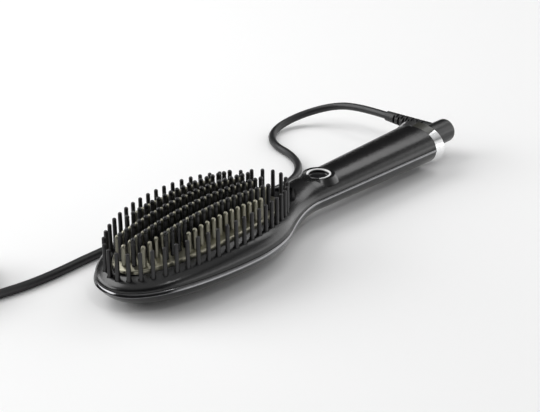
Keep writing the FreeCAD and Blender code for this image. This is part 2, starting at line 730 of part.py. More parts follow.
# the inner bristles stand on a rail for each row, under the plate
for number, y in enumerate(comb_rows, start=1):
    places = row_places(y, PIN_MARGIN, 0.0)
    rail_top = size("land_height") - 0.1
    width = 2 * size("pin_radius") + 0.3
    strip = Part.makeBox(places[-1] - places[0] + width, width, size("comb_thick"),
                         Vector(places[0] - width / 2, y - width / 2, rail_top - size("comb_thick")))
    keep(feature("comb_shape_%d" % number, strip.fuse(pins[y])), "bristle_comb_%d" % number)

# ---------------------------------------------------------------- frame round the plate
# a collar on the floor of the rear cover, with a ledge on which the plate sits
frame_outer = oval("frame_outer", "Layout.field_x",
                   "Sizes.plate_half_length + Sizes.frame_gap + Sizes.frame_wall",
                   "Sizes.plate_half_width + Sizes.frame_gap + Sizes.frame_wall",
                   "Sizes.frame_foot", "Sizes.crown_height - Sizes.frame_foot")
frame_seat = oval("frame_seat", "Layout.field_x", "Sizes.plate_half_length + Sizes.frame_gap",
                  "Sizes.plate_half_width + Sizes.frame_gap", "Sizes.land_height", str(BEYOND))
frame_under = oval("frame_under", "Layout.field_x", "Sizes.plate_half_length + Sizes.frame_gap",
                   "Sizes.plate_half_width + Sizes.frame_gap", "Sizes.frame_foot - 1",
                   "Sizes.land_height - Sizes.ledge_thick - Sizes.frame_foot + 1")
frame_window = oval("frame_window", "Layout.field_x",
                    "Sizes.plate_half_length - Sizes.frame_ledge + Sizes.frame_wall",
                    "Sizes.plate_half_width - Sizes.frame_ledge + Sizes.frame_wall",
                    "Sizes.frame_foot - 1", str(BEYOND))
frame_hollow = fuse("frame_hollow", frame_seat, frame_under, frame_window)
frame_cut = cut("frame_cut", frame_outer, frame_hollow)
doc.recompute()
notches = []
for y in comb_rows:
    places = row_places(y, PIN_MARGIN, 0.0)
    notches.append(Part.makeBox(places[-1] - places[0] + 4, 2 * size("pin_radius") + 1, 4,
                                Vector(places[0] - 2, y - size("pin_radius") - 0.5,
                                       size("land_height") - 3.5)))
frame_solid = frame_cut.Shape.common(dome(size("crown_height") - size("frame_drop"), 18))
keep(feature("frame_shape", frame_solid.cut(notches)), "plate_frame")

# ---------------------------------------------------------------- heater stack under the plate
for number, side in enumerate(("-", ""), start=1):
    middle = "%s2*Sizes.row_gap" % side
    keep(box("element_%d" % number,
             ("Layout.field_x - Sizes.element_length/2", middle + " - Sizes.element_width/2",
              "Layout.element_z"),
             ("Sizes.element_length", "Sizes.element_width", "Sizes.element_thick")),
         "heating_element_%d" % number)
sensor_height = "Sizes.land_height + Sizes.fuse_radius - Sizes.element_thick"
keep(cylinder("sensor", ("Layout.field_x - 17", "0", sensor_height), "Sizes.sensor_radius", "10", "X"),
     "temperature_sensor")
keep(cylinder("fuse", ("Layout.field_x + 6", "0", sensor_height), "Sizes.fuse_radius", "12", "X"),
     "thermal_fuse")
clamp_blank = box("clamp_blank",
                  ("Layout.field_x - Sizes.element_length/2 - 7", "-2*Sizes.row_gap - 4",
                   "Layout.clamp_z"),
                  ("Sizes.element_length + 14", "4*Sizes.row_gap + 8", "Sizes.clamp_thick"))
doc.recompute()
screws = []
for way in (-1, 1):
    x = place("field_x") + way * (size("element_length") / 2 + 4)
    head = Part.makeCylinder(2.4, 1.4, Vector(x, 0, place("clamp_z") - 1.4))
    shank = Part.makeCylinder(1.25, 4.0, Vector(x, 0, place("clamp_z") - 0.5))
    screws.append(head.fuse(shank))
keep(feature("clamp_shape", clamp_blank.Shape.cut(screws)), "heater_clamp")
keep(feature("screws_shape", Part.makeCompound(screws)), "clamp_screws")
plate = [piece for piece in PIECES if piece.Label == "heater_plate"][0]
plate.Shape = plate.Shape.cut(screws)
keep(oval("shield", "Layout.field_x", "Sizes.shield_half_length", "Sizes.shield_half_width",
          "Sizes.shield_height", "Sizes.shield_thick"), "heat_shield")

# ---------------------------------------------------------------- electronics and power button
keep(box("board", ("Layout.board_x", "-Sizes.board_half_width", "Sizes.board_height"),
         ("Layout.board_length", "2*Sizes.board_half_width", "Sizes.board_thick")), "control_board")
switch_body = box("switch_body", ("Layout.button_x - 3", "-3", "Layout.board_top"), ("6", "6", "2.6"))
switch_cap = cylinder("switch_cap", ("Layout.button_x", "0", "Layout.board_top + 2.5"), "1.7", "1.1")
keep(fuse("switch", switch_body, switch_cap), "button_switch")
relay_body = box("relay_body",
                 ("Layout.board_x + 0.44*Layout.board_length", "-6", "Layout.board_top"),
                 ("19", "12", "4.2"))
capacitor = cylinder("capacitor_body",
                     ("Layout.board_x + Layout.board_length - 12", "0", "Layout.board_top"),
                     "4.2", "4.4")
keep(relay_body, "power_relay")
keep(capacitor, "capacitor")

button_top = surface - size("button_sink") - 0.4
flange_top = size("board_height") + 8.2 - 0.2
radius = size("button_radius")
crown = Part.makeCylinder(radius, button_top - flange_top + 0.5,
                          Vector(place("button_x"), 0, flange_top - 0.5))
DISH_RADIUS, DISH_DEPTH = 26.0, 0.7
dish = Part.makeSphere(DISH_RADIUS, Vector(place("button_x"), 0, button_top + DISH_RADIUS - DISH_DEPTH))
flange = Part.makeCylinder(radius + 0.8, 1.1, Vector(place("button_x"), 0, flange_top - 1.1))
stem_low = place("board_top") + 3.6 + size("button_travel") + 0.1
stem = Part.makeCylinder(1.5, flange_top - stem_low, Vector(place("button_x"), 0, stem_low))
keep(feature("button_shape", crown.cut(dish).fuse([flange, stem]).removeSplitter()), "power_button")
sleeve_top = flange_top - 1.1
sleeve_foot = Vector(place("button_x"), 0, place("board_top"))
sleeve = Part.makeCone(5.9, 5.4, sleeve_top - sleeve_foot.z, sleeve_foot)
sleeve = sleeve.cut(Part.makeCone(5.0, 4.5, sleeve_top - sleeve_foot.z, sleeve_foot))
keep(feature("sleeve_shape", sleeve), "button_return")
bezel_shape = bezel_ring(0.0, bezel_foot, surface).cut(scoop(0.45))
keep(feature("bezel_shape", bezel_shape), "button_bezel")

# ---------------------------------------------------------------- end band, cap and swivel


def band_form(inset):
    """The flared end band, or the same form set inwards."""
    wires = []
    for x, width, height in ((place("tail_x"), 0, 0),
                             (place("band_x"), size("band_flare_width"), size("band_flare_height"))):
        half_width = size("tail_half_width") + width - inset
        half_height = size("tail_half_height") + height - inset
        edges = []
        for side, rise, from_side in ((1, 1, True), (-1, 1, False), (-1, -1, True), (1, -1, False)):
            y, z = side * half_width, rise * half_height
            points = [Vector(x, y, 0), Vector(x, y, HANDLE_FULL * z),
                      Vector(x, HANDLE_FULL * y, z), Vector(x, 0, z)]
            if not from_side:
                points.reverse()
            curve = Part.BezierCurve()
            curve.setPoles([point + Vector(0, 0, size("axis_height")) for point in points])
            edges.append(curve.toShape())
        wires.append(Part.Wire(edges))
    return Part.makeLoft(wires, True, True)


spigot = across("spigot", "Sizes.axis_height", "Sizes.tail_half_width - 2.2",
                "Sizes.tail_half_height - 2.2", "Layout.tail_x", "Sizes.band_length + 0.5")
flange_plate = across("flange_plate", "Sizes.axis_height", "Sizes.tail_half_width - 0.6",
                      "Sizes.tail_half_height - 0.6", "Layout.band_x", "Sizes.cap_flange")
neck_tube = cylinder("neck_tube", ("Layout.tail_x - Sizes.shaft_reach + 4", "0", "Sizes.axis_height"),
                     "Sizes.retainer_radius", "Sizes.shaft_reach - 3", "X")
shaft_bore = cylinder("shaft_bore", ("Layout.tail_x - Sizes.shaft_reach", "0", "Sizes.axis_height"),
                      "Sizes.shaft_radius + Sizes.shaft_gap", "40", "X")
keep(cut("cap", fuse("cap_form", spigot, flange_plate, neck_tube), shaft_bore), "end_cap")
doc.recompute()
band_length = size("band_length")
inlay_block = Part.makeBox(band_length, 2 * size("inlay_half_width"), BEYOND,
                           Vector(place("tail_x"), size("inlay_shift") - size("inlay_half_width"),
                                  size("axis_height")))
inlay = band_form(0.0).cut(band_form(size("inlay_thick"))).common(inlay_block)
keep(feature("inlay_shape", inlay), "band_inlay")
band = band_form(0.0).cut([spigot.Shape, inlay_block.common(band_form(0.0)).cut(
    band_form(size("inlay_thick")))])
keep(feature("band_shape", band), "end_band")

stub_round = size("stub_round")
stub_radius = size("stub_radius")
stub_blank = Part.makeCylinder(stub_radius, size("stub_length"),
                               Vector(place("stub_x"), 0, size("axis_height")), Vector(1, 0, 0))
end_edge = max(stub_blank.Edges, key=lambda edge: edge.BoundBox.XMin)
stub_blank = stub_blank.makeFillet(stub_round, [end_edge])
shaft = Part.makeCylinder(size("shaft_radius"), size("shaft_reach") + place("stub_x") - place("tail_x"),
                          Vector(place("tail_x") - size("shaft_reach"), 0, size("axis_height")),
                          Vector(1, 0, 0))
outlet = Vector(place("relief_at"), 0, place("relief_z"))
tilt = math.radians(size("relief_tilt"))
outlet_way = Vector(0, math.cos(tilt), math.sin(tilt))
socket = Part.makeCylinder(size("relief_root") + 0.4, 12, outlet - outlet_way * 1.5, outlet_way)
collar = Part.makeCylinder(size("relief_root") + 0.4, 5.2, outlet - outlet_way * 1.5, outlet_way)
keep(feature("stub_shape", stub_blank.fuse(shaft).cut(socket)), "swivel_stub")
retainer = Part.makeCylinder(size("retainer_radius") - 0.6, size("retainer_thick"),
                             Vector(place("tail_x") - size("shaft_reach") + 1.5, 0, size("axis_height")),
                             Vector(1, 0, 0))
keep(feature("retainer_shape", retainer.cut(shaft)), "swivel_retainer")

# ---------------------------------------------------------------- strain relief and mains lead
relief_tall = size("relief_length")
relief = Part.makeCone(size("relief_root"), size("relief_tip"), relief_tall - 3.7,
                       outlet + outlet_way * 3.7, outlet_way).fuse(collar)
slots = []
SLOTS = 6
for number in range(SLOTS):
    for turn in (0, 1):
        gap = (relief_tall - 16) / SLOTS
        middle = outlet + outlet_way * (10.5 + gap * (number + 0.5 * turn))
        for way in (-1, 1):
            slot = Part.makeBox(9, gap * 0.42, 3.0, Vector(-4.5, -gap * 0.21, 2.0 if way > 0 else -5.0))
            slot.rotate(Vector(), Vector(0, 1, 0), 90 * turn)
            slot.rotate(Vector(), Vector(1, 0, 0), size("relief_tilt"))
            slot.translate(middle)
            slots.append(slot)
keep(feature("relief_shape", relief.cut(slots)), "strain_relief")

exit_point = outlet + outlet_way * (relief_tall + 0.25)
floor_level = size("cord_diameter") / 2
coil_outer = size("coil_radius") + size("coil_section") / 3 - 0.6
coil_centre = Vector(size("coil_x"), size("coil_y"), 0)
LEAD_ANGLE = math.radians(-100.0)
lead_way = Vector(math.sin(LEAD_ANGLE), -math.cos(LEAD_ANGLE), 0)
lead_tangent = coil_centre + Vector(math.cos(LEAD_ANGLE), math.sin(LEAD_ANGLE), 0) * coil_outer
lead_start = lead_tangent - lead_way * size("coil_lead") + Vector(0, 0, floor_level + 0.3)
ROUTE = [
    exit_point,
    Vector(132.6, 62.0, 16.9),
    Vector(130.5, 84.0, 13.2),
    Vector(114.0, 102.0, 5.6),
    Vector(90.0, 101.5, 2.4),
    Vector(72.5, 85.5, 2.4),
    Vector(66.5, 61.0, 2.4),
    Vector(50.5, 42.0, 2.4),
    Vector(24.5, 33.5, 2.4),
    Vector(-13.5, 38.0, 2.4),
    Vector(-53.5, 46.0, 2.4),
    Vector(-99.5, 50.5, 2.4),
    lead_start - lead_way * 30 - Vector(0, 0, 0.3),
    lead_start,
]


def tube(points, radius):
    """A round tube along straight runs joined by tangent arcs."""
    edges = []
    last = points[0]
    for before, corner, after in zip(points, points[1:], points[2:]):
        into, out = corner - before, after - corner
        shorter = min(into.Length, out.Length)
        turn = into.getAngle(out)
        bend = 0.45 * shorter / math.tan(turn / 2)
        print("cord bend radius %.1f, turn %.0f" % (bend, math.degrees(turn)))
        into.normalize()
        out.normalize()
        start = corner - into * 0.45 * shorter
        end = corner + out * 0.45 * shorter
        inward = (out - into).normalize()
        middle = corner + inward * (bend / math.cos(turn / 2) - bend)
        edges.append(Part.makeLine(last, start))
        edges.append(Part.Arc(start, middle, end).toShape())
        last = end
    edges.append(Part.makeLine(last, points[-1]))
    path = Part.Wire(edges)
    circle = Part.Wire(Part.makeCircle(radius, points[0], points[1] - points[0]))
    made = path.makePipeShell([circle], True, False)
    print("cord length %.1f, volume share %.4f"
          % (path.Length, made.Volume / (math.pi * radius ** 2 * path.Length)))
    return made


cord_radius = size("cord_diameter") / 2
keep(feature("cord_shape", tube(ROUTE, cord_radius)), "cord")

# the rest of the lead lies wound up and tied, with its plug beside it
half_section = size("coil_section") / 2
coil = Part.makeCylinder(size("coil_radius") + half_section, size("coil_section"), coil_centre)
coil = coil.cut(Part.makeCylinder(size("coil_radius") - half_section, size("coil_section"), coil_centre))
boss = Part.makeCylinder(cord_radius, size("coil_lead"), lead_start, lead_way)
tail_start = coil_centre + Vector(-coil_outer, 0, floor_level + 0.3)
plug_foot = tail_start + Vector(0, size("coil_lead") + 14, 0)
tail = Part.makeCylinder(cord_radius, size("coil_lead") + 14, tail_start, Vector(0, 1, 0))
keep(feature("coil_shape", coil.fuse([boss, tail])), "cord_coil")

tie_outer = Part.makeBox(size("coil_section") + 2 * size("tie_thick") + 0.2, size("tie_width"),
                         size("coil_section") + size("tie_thick") + 0.1,
                         coil_centre + Vector(size("coil_radius") - half_section - size("tie_thick")
                                              - 0.1, -size("tie_width") / 2, 0))
tie_inner = Part.makeCylinder(size("coil_radius") + half_section + 0.1, size("coil_section") + 0.1,
                              coil_centre)
tie_inner = tie_inner.cut(Part.makeCylinder(size("coil_radius") - half_section - 0.1,
                                            size("coil_section") + 0.1, coil_centre))
keep(feature("tie_shape", tie_outer.cut(tie_inner)), "cord_tie")

plug_width, plug_thick, plug_long = size("plug_width"), size("plug_thick"), size("plug_length")
sections = []
for along, width, thick in ((0.0, 9.0, 2 * floor_level + 0.6), (0.35, 0.8 * plug_width, plug_thick),
                            (1.0, plug_width, plug_thick)):
    y = plug_foot.y + along * plug_long
    low = 0.0
    block = [Vector(plug_foot.x - width / 2, y, low), Vector(plug_foot.x + width / 2, y, low),
             Vector(plug_foot.x + width / 2, y, low + thick),
             Vector(plug_foot.x - width / 2, y, low + thick)]
    sections.append(Part.makePolygon(block + [block[0]]))
plug = Part.makeLoft(sections, True, True)
pin_shapes = []
for way in (-1, 1):
    foot = Vector(plug_foot.x + way * size("plug_pin_spacing") / 2, plug_foot.y + plug_long,
                  plug_thick / 2)
    pin_shapes.append(Part.makeCylinder(size("plug_pin_radius"), size("plug_pin_length"), foot,
                                        Vector(0, 1, 0)))
keep(feature("plug_shape", plug), "plug")
keep(feature("plug_pins_shape", Part.makeCompound(pin_shapes)), "plug_pins")

# ---------------------------------------------------------------- checks and export
doc.recompute()
for item in doc.Objects:
    if "Invalid" in item.State or "Error" in item.State:
        raise RuntimeError("%s is %s" % (item.Label, item.State))
os.makedirs("parts", exist_ok=True)
for piece in PIECES:
    shape = piece.Shape
    if shape.isNull() or not shape.isValid() or not shape.Solids:
        raise RuntimeError("%s has no valid solid" % piece.Label)
    print("%-20s solids %3d  volume %9.1f" % (piece.Label, len(shape.Solids), shape.Volume))
    shape.exportStep("parts/%s.step" % piece.Label)
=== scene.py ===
import logging
import math
from dataclasses import dataclass, field
from enum import Enum
from typing import Iterable, Sequence

import bpy
from mathutils import Matrix, Vector


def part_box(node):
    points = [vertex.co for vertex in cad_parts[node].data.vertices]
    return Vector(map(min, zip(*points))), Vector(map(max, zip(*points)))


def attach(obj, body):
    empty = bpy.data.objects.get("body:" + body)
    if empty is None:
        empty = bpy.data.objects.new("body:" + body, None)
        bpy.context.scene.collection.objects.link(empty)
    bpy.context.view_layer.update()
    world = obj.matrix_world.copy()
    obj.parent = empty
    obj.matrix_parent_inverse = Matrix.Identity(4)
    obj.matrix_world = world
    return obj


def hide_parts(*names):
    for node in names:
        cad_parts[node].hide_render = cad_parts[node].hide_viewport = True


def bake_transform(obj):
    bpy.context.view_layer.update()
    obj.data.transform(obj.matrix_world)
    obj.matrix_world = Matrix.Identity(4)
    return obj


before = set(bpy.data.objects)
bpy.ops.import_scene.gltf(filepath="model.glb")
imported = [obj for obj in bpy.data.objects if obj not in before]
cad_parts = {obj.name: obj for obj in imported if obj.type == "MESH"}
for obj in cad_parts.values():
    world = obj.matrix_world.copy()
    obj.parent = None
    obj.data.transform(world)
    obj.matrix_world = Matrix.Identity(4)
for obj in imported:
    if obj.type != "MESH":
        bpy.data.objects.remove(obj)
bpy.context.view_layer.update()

LOG = logging.getLogger("heated_brush")
MM = 0.001
MERGE_MM = 0.001
COAT_ROUGHNESS = 0.06
SHEEN_ROUGHNESS = 0.45
GRAINS_TO_A_CLOUD = 60
NOISE_LOW, NOISE_HIGH = 0.3, 0.7
METAL_DARK, METAL_BRIGHT = 0.9, 1.08


# ------------------------------------------------------------------ bodies and finishes
class Body(Enum):
    """The rigid bodies that pieces ride on."""

    HANDLE = "handle"
    SWIVEL = "swivel"
    BUTTON = "button"


@dataclass(frozen=True)
class Moulded:
    """A moulded plastic or rubber with a fine grain and slight variation.

    Args:
        name: Name of the material.
        colour: Base colour, linear.
        roughness: Middle of the surface's roughness.
        spread: How far the roughness wanders either way.
        grain: Size of the moulded grain, in metres.
        relief: Strength of the grain's bump.
        coat: Weight of a clear gloss layer.
        sheen: Weight of the soft-touch sheen.
        blotch: How far the colour wanders, as a share.
    """

    name: str
    colour: tuple[float, float, float]
    roughness: float
    spread: float = 0.05
    grain: float = 0.0004
    relief: float = 0.05
    coat: float = 0.0
    sheen: float = 0.0
    blotch: float = 0.15

    def build(self) -> bpy.types.Material:
        """The finish as a node material.

        Returns:
            The material.
        """
        sheet = NodeSheet(self.name)
        shader = sheet.shader
        shader.inputs["Coat Weight"].default_value = self.coat
        shader.inputs["Coat Roughness"].default_value = COAT_ROUGHNESS
        shader.inputs["Sheen Weight"].default_value = self.sheen
        shader.inputs["Sheen Roughness"].default_value = SHEEN_ROUGHNESS
        cloud = sheet.noise(1 / (GRAINS_TO_A_CLOUD * self.grain), detail=3)
        low = tuple(c * (1 - self.blotch) for c in self.colour)
        high = tuple(c * (1 + self.blotch) for c in self.colour)
        sheet.ramp(cloud, (low, high), shader.inputs["Base Color"])
        sheet.span(cloud, self.roughness - self.spread, self.roughness + self.spread,
                   shader.inputs["Roughness"])
        sheet.bump(sheet.noise(1 / self.grain, detail=2), self.relief, self.grain)
        return sheet.material


@dataclass(frozen=True)
class Metal:
    """A metal or a metallic gloss with a clouded or drawn-out surface.

    Args:
        name: Name of the material.
        colour: Base colour, linear.
        roughness: Middle of the surface's roughness.
        spread: How far the roughness wanders either way.
        stretch: Scale of the pattern along X, Y and Z.
        scale: Pattern scale, in cycles a metre.
        relief: Strength of the bump.
        depth: Depth of the bump, in metres.
        metallic: Metallic share.
    """

    name: str
    colour: tuple[float, float, float]
    roughness: float
    spread: float = 0.05
    stretch: tuple[float, float, float] = (1.0, 1.0, 1.0)
    scale: float = 600.0
    relief: float = 0.05
    depth: float = 0.0003
    metallic: float = 1.0

    def build(self) -> bpy.types.Material:
        """The finish as a node material.

        Returns:
            The material.
        """
        sheet = NodeSheet(self.name)
        shader = sheet.shader
        shader.inputs["Metallic"].default_value = self.metallic
        cloud = sheet.noise(self.scale, detail=4, stretch=self.stretch)
        low = tuple(c * METAL_DARK for c in self.colour)
        high = tuple(min(c * METAL_BRIGHT, 1.0) for c in self.colour)
        sheet.ramp(cloud, (low, high), shader.inputs["Base Color"])
        sheet.span(cloud, self.roughness - self.spread, self.roughness + self.spread,
                   shader.inputs["Roughness"])
        sheet.bump(cloud, self.relief, self.depth)
        return sheet.material


class NodeSheet:
    """A material's node tree, with the few nodes that the finishes share."""

    def __init__(self, name: str) -> None:
        """Start a material with one shader.

        Args:
            name: Name of the material.
        """
        self.material = bpy.data.materials.new(name)
        self.material.use_nodes = True
        self.tree = self.material.node_tree
        self.shader = self.tree.nodes["Principled BSDF"]
        self.place = self.tree.nodes.new("ShaderNodeTexCoord")

    def noise(self, scale: float, detail: float = 2.0,
              stretch: tuple[float, float, float] = (1.0, 1.0, 1.0)) -> bpy.types.NodeSocket:
        """A noise pattern on the piece's own coordinates.

        Args:
            scale: Cycles a metre.
            detail: Octaves.
            stretch: Scale along each axis.

        Returns:
            The pattern's value socket.
        """
        mapping = self.tree.nodes.new("ShaderNodeMapping")
        mapping.inputs["Scale"].default_value = stretch
        noise = self.tree.nodes.new("ShaderNodeTexNoise")
        noise.inputs["Scale"].default_value = scale
        noise.inputs["Detail"].default_value = detail
        self.tree.links.new(self.place.outputs["Object"], mapping.inputs["Vector"])
        self.tree.links.new(mapping.outputs["Vector"], noise.inputs["Vector"])
        return noise.outputs["Fac"]

    def ramp(self, value: bpy.types.NodeSocket, colours: Sequence[tuple[float, float, float]],
             target: bpy.types.NodeSocket) -> None:
        """Colour a value between two tones.

        Args:
            value: The pattern.
            colours: The low and the high tone.
            target: Socket that takes the colour.
        """
        ramp = self.tree.nodes.new("ShaderNodeValToRGB")
        ramp.color_ramp.elements[0].position = NOISE_LOW
        ramp.color_ramp.elements[1].position = NOISE_HIGH
        for element, colour in zip(ramp.color_ramp.elements, colours):
            element.color = (*colour, 1.0)
        self.tree.links.new(value, ramp.inputs["Fac"])
        self.tree.links.new(ramp.outputs["Color"], target)

    def span(self, value: bpy.types.NodeSocket, low: float, high: float,
             target: bpy.types.NodeSocket) -> None:
        """Spread a value over a range.

        Args:
            value: The pattern.
            low: Result where the pattern is low.
            high: Result where the pattern is high.
            target: Socket that takes the result.
        """
        spread = self.tree.nodes.new("ShaderNodeMapRange")
        spread.inputs["From Min"].default_value = NOISE_LOW
        spread.inputs["From Max"].default_value = NOISE_HIGH
        spread.inputs["To Min"].default_value = max(low, 0.0)
        spread.inputs["To Max"].default_value = high
        self.tree.links.new(value, spread.inputs["Value"])
        self.tree.links.new(spread.outputs["Result"], target)

    def bump(self, value: bpy.types.NodeSocket, strength: float, depth: float) -> None:
        """Raise the surface by a pattern.

        Args:
            value: The pattern.
            strength: Strength of the bump.
            depth: Height of the pattern, in metres.
        """
        bump = self.tree.nodes.new("ShaderNodeBump")
        bump.inputs["Strength"].default_value = strength
        bump.inputs["Distance"].default_value = depth
        self.tree.links.new(value, bump.inputs["Height"])
        self.tree.links.new(bump.outputs["Normal"], self.shader.inputs["Normal"])


SOFT_TOUCH = Moulded("soft_touch_black", (0.004, 0.004, 0.0043), 0.25, 0.015, 0.00022, 0.004,
                     blotch=0.08)
GLOSS_BLACK = Moulded("gloss_black", (0.006, 0.006, 0.0063), 0.16, 0.02, 0.0012, 0.01, 0.3,
                      blotch=0.05)
FRAME_BLACK = Moulded("frame_black", (0.008, 0.008, 0.008), 0.50, 0.05, 0.0003, 0.10)
NYLON_BLACK = Moulded("bristle_black", (0.006, 0.006, 0.0065), 0.28, 0.04, 0.0005, 0.03)
RING_BLACK = Moulded("ring_black", (0.010, 0.0095, 0.0105), 0.34, 0.04, 0.0005, 0.03)
STUB_BLACK = Moulded("swivel_black", (0.005, 0.005, 0.0055), 0.30, 0.03, 0.00025, 0.01)
RELIEF_BLACK = Moulded("relief_black", (0.008, 0.008, 0.009), 0.45, 0.05, 0.0003, 0.10)
LEAD_BLACK = Moulded("lead_black", (0.006, 0.006, 0.007), 0.42, 0.05, 0.0005, 0.05)
PLUG_BLACK = Moulded("plug_black", (0.010, 0.010, 0.011), 0.42, 0.04, 0.0003, 0.10)
BUTTON_GLOSS = Moulded("button_gloss", (0.006, 0.006, 0.007), 0.10, 0.02, 0.001, 0.01, 0.8)
SILICONE = Moulded("silicone_grey", (0.35, 0.35, 0.33), 0.45, 0.05)
CERAMIC = Moulded("fired_ceramic", (0.72, 0.71, 0.66), 0.35, 0.05)
BOARD_GREEN = Moulded("board_green", (0.012, 0.10, 0.035), 0.30, 0.05, 0.0006)
RELAY_BLACK = Moulded("relay_case", (0.02, 0.02, 0.02), 0.40)
SLEEVE_BLUE = Moulded("capacitor_sleeve", (0.02, 0.03, 0.10), 0.30)
MICA = Moulded("pressed_mica", (0.45, 0.38, 0.24), 0.45, 0.08, 0.0012, 0.15, blotch=0.3)
INLAY_GREY = Moulded("inlay_grey", (0.022, 0.022, 0.016), 0.30, 0.04, 0.0003, 0.04, 0.1)
PLATE_METAL = Metal("champagne_plate", (0.29, 0.28, 0.22), 0.31, 0.03, scale=130.0, relief=0.008,
                    depth=0.0006)
# Partly real gloss, partly painted highlight: the lip is the black cover's edge, but this grey
# metal is lighter so that its reflection shows as a bright strip.
LIP_GLOSS_AND_PAINTED_HIGHLIGHT = Metal("lip_gloss_and_painted_highlight", (0.17, 0.17, 0.175), 0.15, 0.02, scale=300.0, relief=0.005)
CHROME = Metal("bright_chrome", (0.96, 0.96, 0.97), 0.18, 0.02, scale=300.0, relief=0.01)
# Painted reflection: the chrome bezel is mostly near-white paint and barely metallic, so its white
# stands in for chrome's bright reflections.
BEZEL_PAINTED_REFLECTION = Metal("bezel_painted_reflection", (0.97, 0.97, 0.97), 0.20, 0.02, scale=300.0, relief=0.01,
                     metallic=0.12)
STEEL = Metal("plain_steel", (0.52, 0.52, 0.53), 0.32, 0.08, (1.0, 12.0, 1.0))
PIN_METAL = Metal("plug_pin_metal", (0.72, 0.70, 0.62), 0.22, 0.05)


# ------------------------------------------------------------------ modelling bench
class Bench:
    """Blender's operators, as a modeller uses them by hand."""

    @staticmethod
    def clear() -> None:
        """Leave object mode with nothing selected."""
        if bpy.context.object is not None and bpy.context.object.mode != "OBJECT":
            bpy.ops.object.mode_set(mode="OBJECT")
        bpy.ops.object.select_all(action="DESELECT")

    @staticmethod
    def activate(piece: bpy.types.Object) -> None:
        """Select one piece alone and make it active.

        Args:
            piece: The piece.
        """
        Bench.clear()
        piece.select_set(True)
        bpy.context.view_layer.objects.active = piece

    @staticmethod
    def settle(piece: bpy.types.Object) -> None:
        """Apply a piece's place, turn and scale to its mesh."""
        Bench.activate(piece)
        bpy.ops.object.transform_apply(location=True, rotation=True, scale=True)

    @staticmethod
    def smooth(piece: bpy.types.Object, angle: float = 40.0) -> None:
        """Shade a piece smooth, but keep its sharp edges."""
        Bench.activate(piece)
        bpy.ops.object.shade_smooth_by_angle(angle=math.radians(angle))

    @staticmethod
    def lathe(name: str, profile: Sequence[tuple[float, float]], sides: int, centre: float = 0.0,
              hollow: bool = False) -> bpy.types.Object:
        """An upright turned piece: a ring, extruded and scaled ring by ring.

        Args:
            name: Name of the piece.
            profile: Radius and height of each ring, from the foot, in millimetres.
            sides: Sides of a ring.
            centre: Place of its axis along the brush, in millimetres.
            hollow: Whether the profile closes on itself as a tube's wall.

        Returns:
            The piece.
        """
        Bench.clear()
        first = profile[0]
        bpy.ops.mesh.primitive_circle_add(vertices=sides, radius=first[0] * MM,
                                          fill_type="NOTHING" if hollow else "NGON",
                                          location=(centre * MM, 0, first[1] * MM))
        piece = bpy.context.object
        piece.name = name
        Bench.settle(piece)
        bpy.ops.object.mode_set(mode="EDIT")
        bpy.ops.mesh.select_all(action="SELECT")
        for before, ring in zip(profile, profile[1:]):
            bpy.ops.mesh.extrude_region_move(
                TRANSFORM_OT_translate={"value": (0, 0, (ring[1] - before[1]) * MM)})
            share = ring[0] / before[0]
            bpy.ops.transform.resize(value=(share, share, 1),
                                     center_override=(centre * MM, 0, ring[1] * MM))
        if hollow:
            bpy.ops.mesh.select_all(action="SELECT")
            bpy.ops.mesh.remove_doubles(threshold=MERGE_MM * MM)
        bpy.ops.object.mode_set(mode="OBJECT")
        Bench.face_out(piece)
        return piece

    @staticmethod
    def line(name: str, places: Sequence[Vector], kind: str = "POLY") -> bpy.types.Object:
        """A curve along some places.

        Args:
            name: Name of the piece.
            places: The curve's points, in millimetres.
            kind: Kind of the spline.

        Returns:
            The curve, still without thickness.
        """
        data = bpy.data.curves.new(name, "CURVE")
        data.dimensions = "3D"
        spline = data.splines.new(kind)
        spline.points.add(len(places) - 1)
        for point, place in zip(spline.points, places):
            point.co = (*(place * MM), 1)
        piece = bpy.data.objects.new(name, data)
        bpy.context.collection.objects.link(piece)
        return piece

    @staticmethod
    def meshed(curve: bpy.types.Object) -> bpy.types.Object:
        """Make a curve with a thickness or a section a mesh.

        Args:
            curve: The curve.

        Returns:
            The piece.
        """
        Bench.activate(curve)
        bpy.ops.object.convert(target="MESH")
        return bpy.context.object

    @staticmethod
    def face_out(piece: bpy.types.Object) -> None:
        """Turn every face of a piece outwards.

        Args:
            piece: The piece.
        """
        Bench.activate(piece)
        bpy.ops.object.mode_set(mode="EDIT")
        bpy.ops.mesh.select_all(action="SELECT")
        bpy.ops.mesh.normals_make_consistent(inside=False)
        bpy.ops.object.mode_set(mode="OBJECT")

    @staticmethod
    def copies(model: bpy.types.Object, name: str, places: Iterable[Matrix]) -> bpy.types.Object:
        """Copy a model to many places and join the copies.

        Args:
            model: The piece modelled once; it is removed.
            name: Name of the joined piece.
            places: Where each copy goes.

        Returns:
            The joined piece.
        """
        made = []
        for place in places:
            copy = bpy.data.objects.new(name, model.data.copy())
            copy.data.transform(place)
            bpy.context.collection.objects.link(copy)
            made.append(copy)
        Bench.clear()
        for copy in made:
            copy.select_set(True)
        bpy.context.view_layer.objects.active = made[0]
        bpy.ops.object.join()
        bpy.data.objects.remove(model)
        made[0].name = name
        return made[0]

    @staticmethod
    def block(name: str, low: tuple[float, float, float],
              high: tuple[float, float, float]) -> bpy.types.Object:
        """A box between two corners, in millimetres.

        Args:
            name: Name of the piece.
            low: Its low corner.
            high: Its high corner.

        Returns:
            The box.
        """
        Bench.clear()
        middle = (Vector(low) + Vector(high)) / 2
        bpy.ops.mesh.primitive_cube_add(size=1, location=middle * MM)
        piece = bpy.context.object
        piece.name = name
        piece.scale = (Vector(high) - Vector(low)) * MM
        Bench.settle(piece)
        return piece

